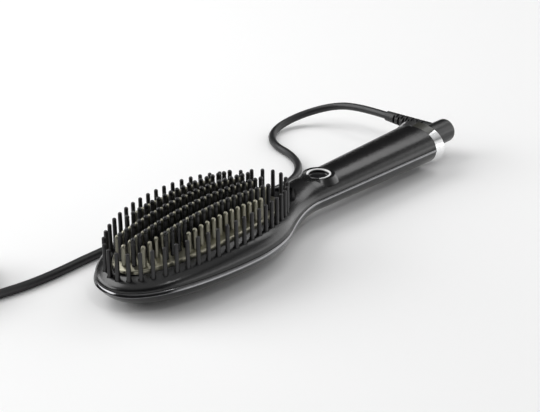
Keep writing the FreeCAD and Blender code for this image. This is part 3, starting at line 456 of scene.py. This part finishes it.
    @staticmethod
    def joined(piece: bpy.types.Object, *others: bpy.types.Object) -> bpy.types.Object:
        """Join pieces into the first one.

        Args:
            piece: The piece that takes the others.
            others: The pieces that go into it.

        Returns:
            The first piece.
        """
        Bench.clear()
        for other in (piece, *others):
            other.select_set(True)
        bpy.context.view_layer.objects.active = piece
        bpy.ops.object.join()
        return piece


class Dresser:
    """Gives pieces their finishes and bodies."""

    def __init__(self) -> None:
        """Start with no material made."""
        self.made: dict[str, bpy.types.Material] = {}

    def material(self, finish: Moulded | Metal) -> bpy.types.Material:
        """The material of a finish, made once.

        Args:
            finish: The finish.

        Returns:
            Its material.
        """
        if finish.name not in self.made:
            self.made[finish.name] = finish.build()
        return self.made[finish.name]

    def node(self, name: str, finish: Moulded | Metal) -> None:
        """Give a CAD node its finish.

        Args:
            name: Name of the node.
            finish: Its finish.
        """
        piece = bpy.data.objects[name]
        for slot in piece.material_slots:
            slot.material = self.material(finish)
        if not piece.material_slots:
            piece.data.materials.append(self.material(finish))

    def coat(self, piece: bpy.types.Object, finish: Moulded | Metal) -> None:
        """Give a new piece its finish alone.

        Args:
            piece: The piece.
            finish: Its finish.
        """
        piece.data.materials.clear()
        piece.data.materials.append(self.material(finish))

    def piece(self, piece: bpy.types.Object, finish: Moulded | Metal, body: Body, slot: str,
              replaced: Sequence[str] = ()) -> bpy.types.Object:
        """Give a new piece its finish and body.

        Args:
            piece: The piece.
            finish: Its finish.
            body: Body that it rides on.
            slot: Not used.
            replaced: CAD nodes that it stands for.

        Returns:
            The piece.
        """
        self.coat(piece, finish)
        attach(piece, body.value)
        if replaced:
            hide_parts(*replaced)
        LOG.info("%s: %d faces on %s", piece.name, len(piece.data.polygons), body.value)
        return piece


# ------------------------------------------------------------------ CAD nodes
@dataclass
class CastAndMoulded:
    """The CAD nodes with their finishes, also those that new pieces stand for."""

    finishes: dict[str, Moulded | Metal] = field(default_factory=lambda: {
        "front_housing": SOFT_TOUCH,
        "rear_cover": GLOSS_BLACK,
        "plate_frame": FRAME_BLACK,
        "outer_bristles": NYLON_BLACK,
        "bristle_comb_1": NYLON_BLACK,
        "bristle_comb_2": NYLON_BLACK,
        "bristle_comb_3": NYLON_BLACK,
        "bristle_comb_4": NYLON_BLACK,
        "heater_plate": PLATE_METAL,
        "heating_element_1": CERAMIC,
        "heating_element_2": CERAMIC,
        "temperature_sensor": CERAMIC,
        "thermal_fuse": STEEL,
        "heater_clamp": STEEL,
        "clamp_screws": STEEL,
        "heat_shield": MICA,
        "control_board": BOARD_GREEN,
        "button_switch": STEEL,
        "power_relay": RELAY_BLACK,
        "capacitor": SLEEVE_BLUE,
        "power_button": BUTTON_GLOSS,
        "button_return": SILICONE,
        # painted reflection: near-white paint stands in for the chrome bezel's mirror image
        "button_bezel": BEZEL_PAINTED_REFLECTION,
        "end_cap": FRAME_BLACK,
        "band_inlay": INLAY_GREY,
        "end_band": CHROME,
        "swivel_stub": STUB_BLACK,
        "swivel_retainer": STEEL,
        "strain_relief": RELIEF_BLACK,
        "cord": LEAD_BLACK,
        "cord_coil": LEAD_BLACK,
        "cord_tie": RELIEF_BLACK,
        "plug": PLUG_BLACK,
        "plug_pins": PIN_METAL,
    })

    def dress(self, dresser: Dresser) -> None:
        """Give each node its finish.

        Args:
            dresser: Gives out the finishes.
        """
        for name, finish in self.finishes.items():
            dresser.node(name, finish)
            LOG.info("%s takes %s", name, finish.name)


# ------------------------------------------------------------------ shell
@dataclass
class Shell:
    """The outline of the housing and the lip that follows it, in millimetres.

    The lip's section gives the way out and up from the parting line, before head_lip and
    handle_lip scale it.
    """

    tip_x: float = -142.7
    head_x: float = -69.2
    neck_x: float = -33.7
    grip_x: float = 6.3
    half_width: float = 35.3
    bluntness: float = 2.2
    head_rear: float = 54.0
    neck_half_width: float = 13.3
    handle_spread: float = 0.0341
    parting_height: float = 15.5
    parting_start: float = -87.2
    parting_radius: float = 569.0
    tail_x: float = 108.8
    head_lip: float = 2.2
    handle_lip: float = 1.5
    straight_steps: int = 6
    bend_steps: int = 28
    lip_section: tuple[tuple[float, float], ...] = (
        (-0.8, -0.17), (-0.04, -0.17), (0.02, -0.21), (0.31, -0.84), (0.32, -0.93), (0.25, -1.05),
        (-0.8, -1.5))

    def width_at(self, x: float) -> float:
        """Half the width of the brush at a place along it.

        Args:
            x: The place along the brush.

        Returns:
            Half the width.
        """
        if x >= self.grip_x:
            return self.neck_half_width + self.handle_spread * (x - self.grip_x)
        if x < self.head_x:
            share = min((self.head_x - x) / (self.head_x - self.tip_x), 1.0)
            return self.half_width * (1 - share ** self.bluntness) ** (1 / self.bluntness)
        share = (min(x, self.neck_x) - self.head_x) / self.head_rear
        head = self.half_width * math.sqrt(1 - share ** 2)
        if x <= self.neck_x:
            return head
        slope = -self.half_width ** 2 * share / (self.head_rear * head)
        span = self.grip_x - self.neck_x
        t = (x - self.neck_x) / span
        square, cube = t * t, t ** 3
        return ((2 * cube - 3 * square + 1) * head + (cube - 2 * square + t) * span * slope
                + (3 * square - 2 * cube) * self.neck_half_width
                + (cube - square) * span * self.handle_spread)

    def parting(self, x: float) -> float:
        """Height of the parting line at a place along the brush.

        Args:
            x: The place along the brush.

        Returns:
            The height.
        """
        if x >= self.parting_start:
            return self.parting_height
        drop = math.sqrt(self.parting_radius ** 2 - (self.parting_start - x) ** 2)
        return self.parting_height - self.parting_radius + drop

    def outline(self) -> list[Vector]:
        """The parting line, from the end band round the tip and back.

        Returns:
            Its points.
        """
        straight, bend = self.straight_steps, self.bend_steps
        near = [self.tail_x - (self.tail_x - self.grip_x) * step / straight
                for step in range(straight)]
        near += [self.grip_x - (self.grip_x - self.head_x) * step / bend for step in range(bend)]
        quarter = math.pi / 2
        near += [self.head_x - (self.head_x - self.tip_x) * math.sin(quarter * step / bend)
                 for step in range(bend)]
        side = [Vector((x, -self.width_at(x), self.parting(x))) for x in near]
        tip = Vector((self.tip_x, 0.0, self.parting(self.tip_x)))
        return side + [tip] + [Vector((v.x, -v.y, v.z)) for v in reversed(side)]

    def lip(self, dresser: Dresser) -> bpy.types.Object:
        """The raised lip of the rear cover under the parting line.

        Args:
            dresser: Gives out the finishes.

        Returns:
            The lip.
        """
        profile = bpy.data.curves.new("lip_profile", "CURVE")
        edge = profile.splines.new("POLY")
        edge.points.add(len(self.lip_section) - 1)
        for point, (out, up) in zip(edge.points, self.lip_section):
            point.co = (-out * MM, up * MM, 0, 1)
        edge.use_cyclic_u = True
        shape = bpy.data.objects.new("lip_profile", profile)
        bpy.context.collection.objects.link(shape)
        places = self.outline()
        lip = Bench.line("cover_lip", places)
        lip.data.twist_mode = "Z_UP"
        for point, place in zip(lip.data.splines[0].points, places):
            share = min(max((self.grip_x - place.x) / (self.grip_x - self.head_x), 0.0), 1.0)
            point.radius = self.handle_lip + (self.head_lip - self.handle_lip) * share
        lip.data.bevel_mode = "OBJECT"
        lip.data.bevel_object = shape
        lip.data.use_fill_caps = True
        lip = Bench.meshed(lip)
        bpy.data.objects.remove(shape)
        Bench.face_out(lip)
        Bench.smooth(lip, angle=35)
        # painted highlight: the lip's lighter grey metal brightens its reflection along the parting
        # line
        return dresser.piece(lip, LIP_GLOSS_AND_PAINTED_HIGHLIGHT, Body.HANDLE, "gloss_cover")


# ------------------------------------------------------------------ brush field
@dataclass
class BrushField:
    """The posts' tips, the bristles and the seal, on the plate's own grid, in millimetres.

    tip_shape gives each ring's share of the radius and its height over the post. ball_shape
    and dimple_shape give the share and the depth under the bristle's top.
    """

    field_x: float = -77.5
    crown_x: float = -74.1
    plate_top: float = 28.5
    plate_half_length: float = 57.0
    plate_half_width: float = 24.6
    crown_radius: float = 232.0
    cross_radius: float = 131.0
    row_gap: float = 4.72
    pitch: float = 4.41
    grid_start: float = 50.5
    grid_end: float = 42.5
    post_margin: float = 1.9
    pin_margin: float = 2.9
    end_margin: float = 1.2
    post_height: float = 11.0
    post_end: float = 2.1
    post_radius: float = 1.5
    post_taper: float = 0.93
    post_sides: int = 14
    pin_height: float = 14.8
    pin_radius: float = 1.3
    pin_sides: int = 12
    pin_foot: float = 1.2
    land_height: float = 19.2
    comb_thick: float = 1.5
    comb_gap: float = 0.1
    comb_margin: float = 0.3
    grid_steps: tuple[int, int] = (-40, 80)
    ring_half_length: float = 60.5
    ring_half_width: float = 29.3
    ring_count: int = 48
    ring_radius: float = 1.28
    ring_model_height: float = 25.0
    ring_foot: float = 1.0
    ring_search: float = 2.0
    ring_steps: int = 2000
    rail_height: float = 10.5
    rail_radius: float = 1.2
    rail_sink: float = 0.2
    frame_wall: float = 0.8
    frame_gap: float = 0.25
    seal_radius: float = 0.65
    seal_sides: int = 120
    seal_search: float = 3.0
    seal_lap: float = 0.1
    seal_sink: float = 0.05
    hole_share: float = 0.004
    hole_depth: float = 2.0
    tip_shape: tuple[tuple[float, float], ...] = (
        (1.01, -0.3), (1.02, 0.0), (1.0, 0.5), (0.92, 1.05), (0.77, 1.55), (0.54, 1.95),
        (0.28, 2.16), (0.05, 2.22))
    ball_shape: tuple[tuple[float, float], ...] = (
        (0.95, 2.7), (0.84, 2.3), (0.90, 1.95), (1.0, 1.35), (0.97, 0.8), (0.78, 0.3), (0.48, 0.0),
        (0.34, 0.05), (0.12, 0.25))
    dimple_shape: tuple[tuple[float, float], ...] = (
        (0.86, 0.75), (0.80, 0.4), (0.62, 0.1), (0.42, 0.0), (0.28, 0.06), (0.1, 0.2))

    def plate_face(self, x: float, y: float) -> float:
        """Height of the plate at a place."""
        return (self.plate_top - (x - self.crown_x) ** 2 / (2 * self.crown_radius)
                - y ** 2 / (2 * self.cross_radius))

    def row_places(self, y: float, margin: float, shift: float) -> list[float]:
        """Where the posts or bristles of a row stand along it.

        Args:
            y: Place of the row across the plate, in millimetres.
            margin: Distance kept from the plate's edge.
            shift: Shift of the row along the plate, in pitches.

        Returns:
            The places along the plate, in millimetres.
        """
        length = self.plate_half_length - margin - self.end_margin
        width = self.plate_half_width - margin
        reach = length * math.sqrt(max(1 - (y / width) ** 2, 0.0))
        last = min(self.field_x + reach, self.field_x + self.grid_end)
        origin = self.field_x - self.grid_start + shift * self.pitch
        spots = [origin + step * self.pitch for step in range(*self.grid_steps)]
        return [x for x in spots if self.field_x - reach <= x <= last]

    def ring_places(self) -> list[tuple[float, float]]:
        """Where the outer bristles stand, evenly spaced along their oval.

        Returns:
            The places along and across the brush.
        """
        angles = [2 * math.pi * step / self.ring_steps for step in range(self.ring_steps + 1)]
        spots = [(self.ring_half_length * math.cos(angle), self.ring_half_width * math.sin(angle))
                 for angle in angles]
        reach = [0.0]
        for before, after in zip(spots, spots[1:]):
            reach.append(reach[-1] + math.dist(before, after))
        found = []
        spot = 0
        for number in range(self.ring_count):
            wanted = reach[-1] * (number + 0.5) / self.ring_count
            while reach[spot] < wanted:
                spot += 1
            found.append((self.field_x + spots[spot][0], spots[spot][1]))
        return found

    def post_tips(self, dresser: Dresser) -> bpy.types.Object:
        """The rounded bullet tips of the metal posts.

        Args:
            dresser: Gives out the finishes.

        Returns:
            The tips.
        """
        radius = self.post_taper * self.post_radius
        rings = [(share * radius, up) for share, up in self.tip_shape]
        model = Bench.lathe("post_tip", rings, self.post_sides)
        Bench.smooth(model, angle=60)
        places = []
        for y in [row * self.row_gap for row in (0, -2, 2, -4, 4)]:
            for x in self.row_places(y, self.post_margin, shift=0.5):
                top = self.plate_face(x, y) + self.post_height - self.post_end
                places.append(Matrix.Translation(Vector((x, y, top)) * MM))
        tips = Bench.copies(model, "post_tips", places)
        return dresser.piece(tips, PLATE_METAL, Body.HANDLE, "plate_metal")

    def comb(self, dresser: Dresser, number: int, y: float) -> bpy.types.Object:
        """One row of ball-tipped nylon bristles on its rail.

        Args:
            dresser: Gives out the finishes.
            number: Number of the row.
            y: Place of the row across the plate, in millimetres.

        Returns:
            The row.
        """
        foot = self.land_height - self.pin_foot
        radius = self.pin_radius
        spots = self.row_places(y, self.pin_margin, shift=0.0)
        top = self.plate_face(self.field_x, 0.0) + self.pin_height
        rings = [(radius, foot)] + [(share * radius, top - down) for share, down in self.ball_shape]
        model = Bench.lathe("bristle", rings, self.pin_sides)
        Bench.smooth(model, angle=50)
        places = []
        for x in spots:
            drop = self.plate_face(x, y) + self.pin_height - top
            places.append(Matrix.Translation(Vector((x, y, drop)) * MM))
        row = Bench.copies(model, f"inner_bristles_{number}", places)
        rail_top = self.land_height - self.comb_gap
        width = 2 * radius + self.comb_margin
        rail = Bench.block(f"rail_{number}",
                           (spots[0] - width / 2, y - width / 2, rail_top - self.comb_thick),
                           (spots[-1] + width / 2, y + width / 2, rail_top))
        row = Bench.joined(row, rail)
        return dresser.piece(row, NYLON_BLACK, Body.HANDLE, "bristle_black",
                             [f"bristle_comb_{number}"])

    def seal(self, dresser: Dresser) -> bpy.types.Object:
        """The thin seal in the front housing's hole, round the heater plate.

        Args:
            dresser: Gives out the finishes.

        Returns:
            The seal.
        """
        hole_length = self.plate_half_length + self.frame_wall + 2 * self.frame_gap
        hole_width = self.plate_half_width + self.frame_wall + 2 * self.frame_gap
        edge = []
        for vertex in bpy.data.objects["front_housing"].data.vertices:
            x, y, z = vertex.co / MM
            share = math.hypot((x - self.field_x) / hole_length, y / hole_width)
            if abs(share - 1) < self.hole_share and z > self.land_height - self.hole_depth:
                edge.append((x, y, z))
        inset = self.frame_gap + self.seal_radius - self.seal_lap
        places = []
        for number in range(self.seal_sides):
            angle = 2 * math.pi * number / self.seal_sides
            out_x, out_y = math.cos(angle), math.sin(angle)
            x, y = self.field_x + hole_length * out_x, hole_width * out_y
            top = max(corner[2] for corner in edge
                      if math.hypot(corner[0] - x, corner[1] - y) < self.seal_search)
            places.append(Vector((x - inset * out_x, y - inset * out_y,
                                  top - self.seal_radius - self.seal_sink)))
        seal = Bench.line("plate_seal", places)
        seal.data.splines[0].use_cyclic_u = True
        seal.data.bevel_depth = self.seal_radius * MM
        seal.data.bevel_resolution = 2
        seal = Bench.meshed(seal)
        Bench.smooth(seal, angle=60)
        return dresser.piece(seal, SOFT_TOUCH, Body.HANDLE, "frame_black")

    def ring(self, dresser: Dresser) -> bpy.types.Object:
        """The outer bristles with rounded, dimpled ends, on their oval rail.

        Args:
            dresser: Gives out the finishes.

        Returns:
            The ring.
        """
        whole = bpy.data.objects["outer_bristles"].data.vertices
        foot = self.rail_height + self.ring_foot
        radius = self.ring_radius
        tall = self.ring_model_height
        rings = [(radius, 0.0)]
        rings += [(share * radius, tall - down) for share, down in self.dimple_shape]
        model = Bench.lathe("outer_bristle", rings, self.pin_sides)
        Bench.smooth(model, angle=50)
        places = []
        for x, y in self.ring_places():
            spot = Vector((x, y)) * MM
            top = max(vertex.co.z for vertex in whole
                      if (vertex.co.xy - spot).length < self.ring_search * MM) / MM
            stretch = Matrix.Diagonal((1, 1, (top - foot) / tall, 1))
            places.append(Matrix.Translation(Vector((x, y, foot)) * MM) @ stretch)
        pins = Bench.copies(model, "outer_ring", places)
        Bench.clear()
        bpy.ops.curve.primitive_bezier_circle_add(radius=1.0, location=(0, 0, 0))
        rail = bpy.context.object
        bpy.ops.object.mode_set(mode="EDIT")
        bpy.ops.curve.select_all(action="SELECT")
        bpy.ops.transform.resize(value=(self.ring_half_length * MM, self.ring_half_width * MM, 1))
        bpy.ops.transform.translate(
            value=(self.field_x * MM, 0,
                   (self.rail_height + self.rail_radius - self.rail_sink) * MM))
        bpy.ops.object.mode_set(mode="OBJECT")
        rail.data.bevel_depth = self.rail_radius * MM
        rail.data.bevel_resolution = 2
        rail = Bench.meshed(rail)
        Bench.smooth(rail, angle=50)
        whole_ring = Bench.joined(pins, rail)
        return dresser.piece(whole_ring, RING_BLACK, Body.HANDLE, "bristle_black",
                             ["outer_bristles"])

    def build(self, dresser: Dresser) -> None:
        """Make the tips, the rows of bristles, the outer ring and the seal.

        Args:
            dresser: Gives out the finishes.
        """
        self.post_tips(dresser)
        rows = [way * step * self.row_gap for step in (1, 3) for way in (-1, 1)]
        for number, y in enumerate(rows, start=1):
            self.comb(dresser, number, y)
        self.ring(dresser)
        self.seal(dresser)


# ------------------------------------------------------------------ mains lead
@dataclass
class MainsLead:
    """The mains lead: its laid run, its put-away coil and its tail to the plug.

    Each of the slots is a place in the coil's section, as steps inwards and layers up, in the
    order in which the turns fill it. tail_shape gives the way along the tail, as a share, and
    the drop from the coil's second layer.
    """

    diameter: float = 4.8 * MM
    length: float = 1.8
    route_mm: tuple[tuple[float, float, float], ...] = (
        (132.0, 39.233, 16.664),
        (132.6, 62.0, 16.9),
        (130.5, 84.0, 13.2),
        (114.0, 102.0, 5.6),
        (90.0, 101.5, 2.4),
        (72.5, 85.5, 2.4),
        (66.5, 61.0, 2.4),
        (50.5, 42.0, 2.4),
        (24.5, 33.5, 2.4),
        (-13.5, 38.0, 2.4),
        (-53.5, 46.0, 2.4),
        (-99.5, 50.5, 2.4),
        (-147.07, 47.68, 2.4),
        (-176.62, 52.89, 2.7),
    )
    centre_mm: tuple[float, float] = (-191.0, 86.5)
    entry_angle: float = math.radians(-100)
    turns: int = 8
    per_turn: int = 24
    outer_mm: float = 30.6
    spacing_mm: float = 4.8
    floor_mm: float = 2.4
    tail_mm: float = 34.0
    tail_shape: tuple[tuple[float, float], ...] = (
        (0.0, 0.0), (0.3, 0.3), (0.62, 3.4), (0.85, 4.5), (1.0, 4.5))
    last_turn: float = 80.0
    change_delay: float = 25.4
    change_span: float = 101.8
    slots: tuple[tuple[int, int], ...] = (
        (0, 0), (1, 0), (2, 0), (2, 1), (1, 1), (2, 2), (1, 2), (0, 2), (0, 1))

    def lay(self, turned: float) -> tuple[float, float]:
        """Radius and height of the winding after some turning.

        Args:
            turned: Degrees turned since the lead met the coil.

        Returns:
            Radius and height, in millimetres. Each turn lies in a slot of its own
            and moves on to the next one while the turn after it makes room.
        """
        number = min(int(turned // 360), self.turns)
        start = self.last_turn + (self.turns - 1 - number) * self.change_delay
        share = min(max((turned - 360 * number - start) / self.change_span, 0.0), 1.0)
        share = share * share * (3 - 2 * share) if number < self.turns else 0.0
        here = self.slots[number]
        after = self.slots[min(number + 1, self.turns)]
        inward = here[0] + (after[0] - here[0]) * share
        up = here[1] + (after[1] - here[1]) * share
        return self.outer_mm - inward * self.spacing_mm, self.floor_mm + up * self.spacing_mm

    def winding(self) -> list[Vector]:
        """The coil's turns and the tail to the plug.

        Returns:
            The points, in millimetres.
        """
        step = 360 / self.per_turn
        whole = 360 * self.turns + self.last_turn
        spread = 1 / math.cos(math.radians(step / 2))
        points = []
        for number in range(1, int(whole / step) + 1):
            turned = number * step
            angle = self.entry_angle - math.radians(turned)
            radius, height = self.lay(turned)
            points.append(Vector((self.centre_mm[0] + spread * radius * math.cos(angle),
                                  self.centre_mm[1] + spread * radius * math.sin(angle), height)))
        x, y = self.centre_mm[0] - self.outer_mm, self.centre_mm[1]
        height = self.floor_mm + self.spacing_mm
        for along, drop in self.tail_shape:
            points.append(Vector((x, y + along * self.tail_mm, height - drop)))
        return points

    def curve(self) -> bpy.types.Object:
        """The lead's smooth line.

        Returns:
            The curve.
        """
        points = [Vector(p) for p in self.route_mm] + self.winding()
        curve = Bench.line("mains_lead", points, "NURBS")
        spline = curve.data.splines[0]
        spline.order_u = 3
        spline.use_endpoint_u = True
        spline.resolution_u = 8
        return curve

    def build(self, dresser: Dresser) -> None:
        """Make the lead, hide the CAD cord and coil, and log its faces.

        Args:
            dresser: Gives out the finishes.
        """
        lead = self.curve()
        bare = bpy.data.meshes.new_from_object(lead)
        bpy.data.meshes.remove(bare)
        lead.data.bevel_depth = self.diameter / 2
        lead.data.bevel_resolution = 3
        lead.data.use_fill_caps = True
        lead = Bench.meshed(lead)
        Bench.smooth(lead, angle=50)
        dresser.coat(lead, LEAD_BLACK)
        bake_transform(lead)
        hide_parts("cord", "cord_coil")
        LOG.info("%s: %d faces, coiled", lead.name, len(lead.data.polygons))


# ------------------------------------------------------------------ button sleeve
@dataclass
class ReturnSleeve:
    """The silicone sleeve that the button squeezes, in millimetres."""

    wall: float = 0.9
    taper: float = 0.5
    rings: int = 6
    sides: int = 48

    def build(self, dresser: Dresser) -> bpy.types.Object:
        """Turn the sleeve.

        Args:
            dresser: Gives out the finishes.

        Returns:
            The sleeve.
        """
        low, high = (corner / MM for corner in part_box("button_return"))
        centre, radius = (low.x + high.x) / 2, (high.x - low.x) / 2
        foot, top = low.z, high.z
        steps = [step / self.rings for step in range(self.rings + 1)]
        outside = [(radius - self.taper * t, foot + (top - foot) * t) for t in steps]
        inside = [(across - self.wall, up) for across, up in reversed(outside)]
        sleeve = Bench.lathe("return_sleeve", outside + inside + outside[:1], self.sides, centre,
                             hollow=True)
        Bench.smooth(sleeve)
        dresser.coat(sleeve, SILICONE)
        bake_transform(sleeve)
        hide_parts("button_return")
        LOG.info("%s: %d faces, squeezed", sleeve.name, len(sleeve.data.polygons))
        return sleeve


# ------------------------------------------------------------------ floor, light and camera
@dataclass(frozen=True)
class Softbox:
    """A softbox that faces the middle of the floor.

    Args:
        name: Name of the light.
        place: Where it hangs, in metres.
        size: Its width and height, in metres.
        power: Its power, in watts.
    """

    name: str
    place: tuple[float, float, float]
    size: tuple[float, float]
    power: float

    def hang(self) -> None:
        """Hang the softbox in its place."""
        data = bpy.data.lights.new(self.name, "AREA")
        data.shape = "RECTANGLE"
        data.size, data.size_y = self.size
        data.energy = self.power
        light = bpy.data.objects.new(self.name, data)
        light.location = self.place
        light.rotation_mode = "QUATERNION"
        light.rotation_quaternion = (-Vector(self.place)).to_track_quat("-Z", "Y")
        bpy.context.collection.objects.link(light)


@dataclass
class Studio:
    """A pale floor, soft light and the camera.

    The room is graded by pairs of a place and a brightness. The place is how far a direction
    rises, or for wall_sides how nearly it points along wall_facing. The wall's sides and
    heights are multiplied and then added to the bands.
    """

    lens: float = 90.78
    sensor: float = 36.0
    clip: tuple[float, float] = (0.01, 50.0)
    azimuth: float = -47.449
    elevation: float = 24.443
    roll: float = -0.41
    distance: float = 0.75010
    target: tuple[float, float, float] = (-0.023114, 0.0, 0.01722)
    floor_size: float = 12.0
    floor_white: float = 0.90
    floor_roughness: float = 0.6
    floor_gloss: float = 0.2
    sky_strength: float = 2.05
    sky_bands: tuple[tuple[float, float], ...] = (
        (0.0, 0.10), (0.10, 0.015), (0.5, 0.015), (0.66, 0.08), (0.82, 0.30), (1.0, 0.36))
    wall_facing: tuple[float, float, float] = (0.76, -0.65, 0.0)
    wall_sides: tuple[tuple[float, float], ...] = ((0.42, 0.0), (0.58, 1.0))
    wall_heights: tuple[tuple[float, float], ...] = (
        (0.0, 1.05), (0.2, 1.05), (0.28, 0.40), (0.5, 0.38), (0.64, 0.0))
    lamps: tuple[Softbox, ...] = (
        Softbox("right_box", (0.80, 0.12, 0.88), (0.50, 0.40), 1.7),
        Softbox("end_box", (1.2, -0.25, 0.55), (1.1, 0.4), 1.6),
        Softbox("back_box", (-0.25, 1.0, 1.1), (1.2, 0.6), 9.0),
        Softbox("left_box", (-0.75, 1.0, 0.55), (1.4, 0.5), 10.6),
        Softbox("key", (-0.22, -0.55, 0.80), (0.12, 0.12), 0.7),
    )

    def camera(self) -> None:
        """Place the camera."""
        azimuth, elevation = math.radians(self.azimuth), math.radians(self.elevation)
        back = Vector((math.sin(azimuth) * math.cos(elevation),
                       -math.cos(azimuth) * math.cos(elevation), math.sin(elevation)))
        right = Vector((math.cos(azimuth), math.sin(azimuth), 0))
        up = back.cross(right)
        roll = math.radians(self.roll)
        turned_right = right * math.cos(roll) + up * math.sin(roll)
        turned_up = up * math.cos(roll) - right * math.sin(roll)
        matrix = Matrix((turned_right, turned_up, back)).transposed().to_4x4()
        matrix.translation = Vector(self.target) + back * self.distance
        data = bpy.data.cameras.new("camera")
        data.lens = self.lens
        data.sensor_width = self.sensor
        data.clip_start, data.clip_end = self.clip
        camera = bpy.data.objects.new("camera", data)
        camera.matrix_world = matrix
        bpy.context.collection.objects.link(camera)
        bpy.context.scene.camera = camera

    def floor(self) -> None:
        """Lay the floor."""
        Bench.clear()
        bpy.ops.mesh.primitive_plane_add(size=self.floor_size, location=(0, 0, 0))
        floor = bpy.context.object
        floor.name = "floor"
        sheet = NodeSheet("floor_white")
        sheet.shader.inputs["Base Color"].default_value = (*[self.floor_white] * 3, 1)
        sheet.shader.inputs["Roughness"].default_value = self.floor_roughness
        sheet.shader.inputs["Specular IOR Level"].default_value = self.floor_gloss
        floor.data.materials.append(sheet.material)

    def graded(self, tree: bpy.types.NodeTree, value: bpy.types.NodeSocket,
               bands: Sequence[tuple[float, float]]) -> bpy.types.NodeSocket:
        """Grade a value by bands of brightness.

        Args:
            tree: The world's nodes.
            value: The value that is graded.
            bands: Place and brightness of each band.

        Returns:
            The brightness.
        """
        ramp = tree.nodes.new("ShaderNodeValToRGB")
        elements = ramp.color_ramp.elements
        while len(elements) < len(bands):
            elements.new(0.5)
        for element, (place, brightness) in zip(elements, bands):
            element.position = place
            element.color = (brightness, brightness, brightness, 1)
        tree.links.new(value, ramp.inputs["Fac"])
        return ramp.outputs["Color"]

    def sky(self) -> None:
        """A dim room with a bright ceiling and a bright wall on the near right."""
        world = bpy.data.worlds.new("studio")
        bpy.context.scene.world = world
        world.use_nodes = True
        tree = world.node_tree
        place = tree.nodes.new("ShaderNodeTexCoord")
        split = tree.nodes.new("ShaderNodeSeparateXYZ")
        near = tree.nodes.new("ShaderNodeVectorMath")
        near.operation = "DOT_PRODUCT"
        near.inputs[1].default_value = self.wall_facing
        wall = tree.nodes.new("ShaderNodeMath")
        wall.operation = "MULTIPLY"
        both = tree.nodes.new("ShaderNodeMath")
        both.operation = "ADD"
        tree.links.new(place.outputs["Generated"], split.inputs["Vector"])
        tree.links.new(place.outputs["Generated"], near.inputs[0])
        tree.links.new(self.graded(tree, near.outputs["Value"], self.wall_sides), wall.inputs[0])
        tree.links.new(self.graded(tree, split.outputs["Z"], self.wall_heights), wall.inputs[1])
        tree.links.new(self.graded(tree, split.outputs["Z"], self.sky_bands), both.inputs[0])
        tree.links.new(wall.outputs["Value"], both.inputs[1])
        tree.links.new(both.outputs["Value"], tree.nodes["Background"].inputs["Color"])
        tree.nodes["Background"].inputs["Strength"].default_value = self.sky_strength

    def light(self) -> None:
        """Light the scene from the room and the softboxes."""
        bpy.context.scene.view_settings.view_transform = "Standard"
        self.sky()
        for lamp in self.lamps:
            lamp.hang()

    def build(self) -> None:
        """Set up camera, floor and light."""
        self.camera()
        self.floor()
        self.light()


def main() -> None:
    """Build and dress the brush, in order."""
    logging.basicConfig(level=logging.INFO, format="%(message)s")
    Studio().build()
    dresser = Dresser()
    CastAndMoulded().dress(dresser)
    Shell().lip(dresser)
    MainsLead().build(dresser)
    BrushField().build(dresser)
    ReturnSleeve().build(dresser)


if __name__ == "__main__":
    main()
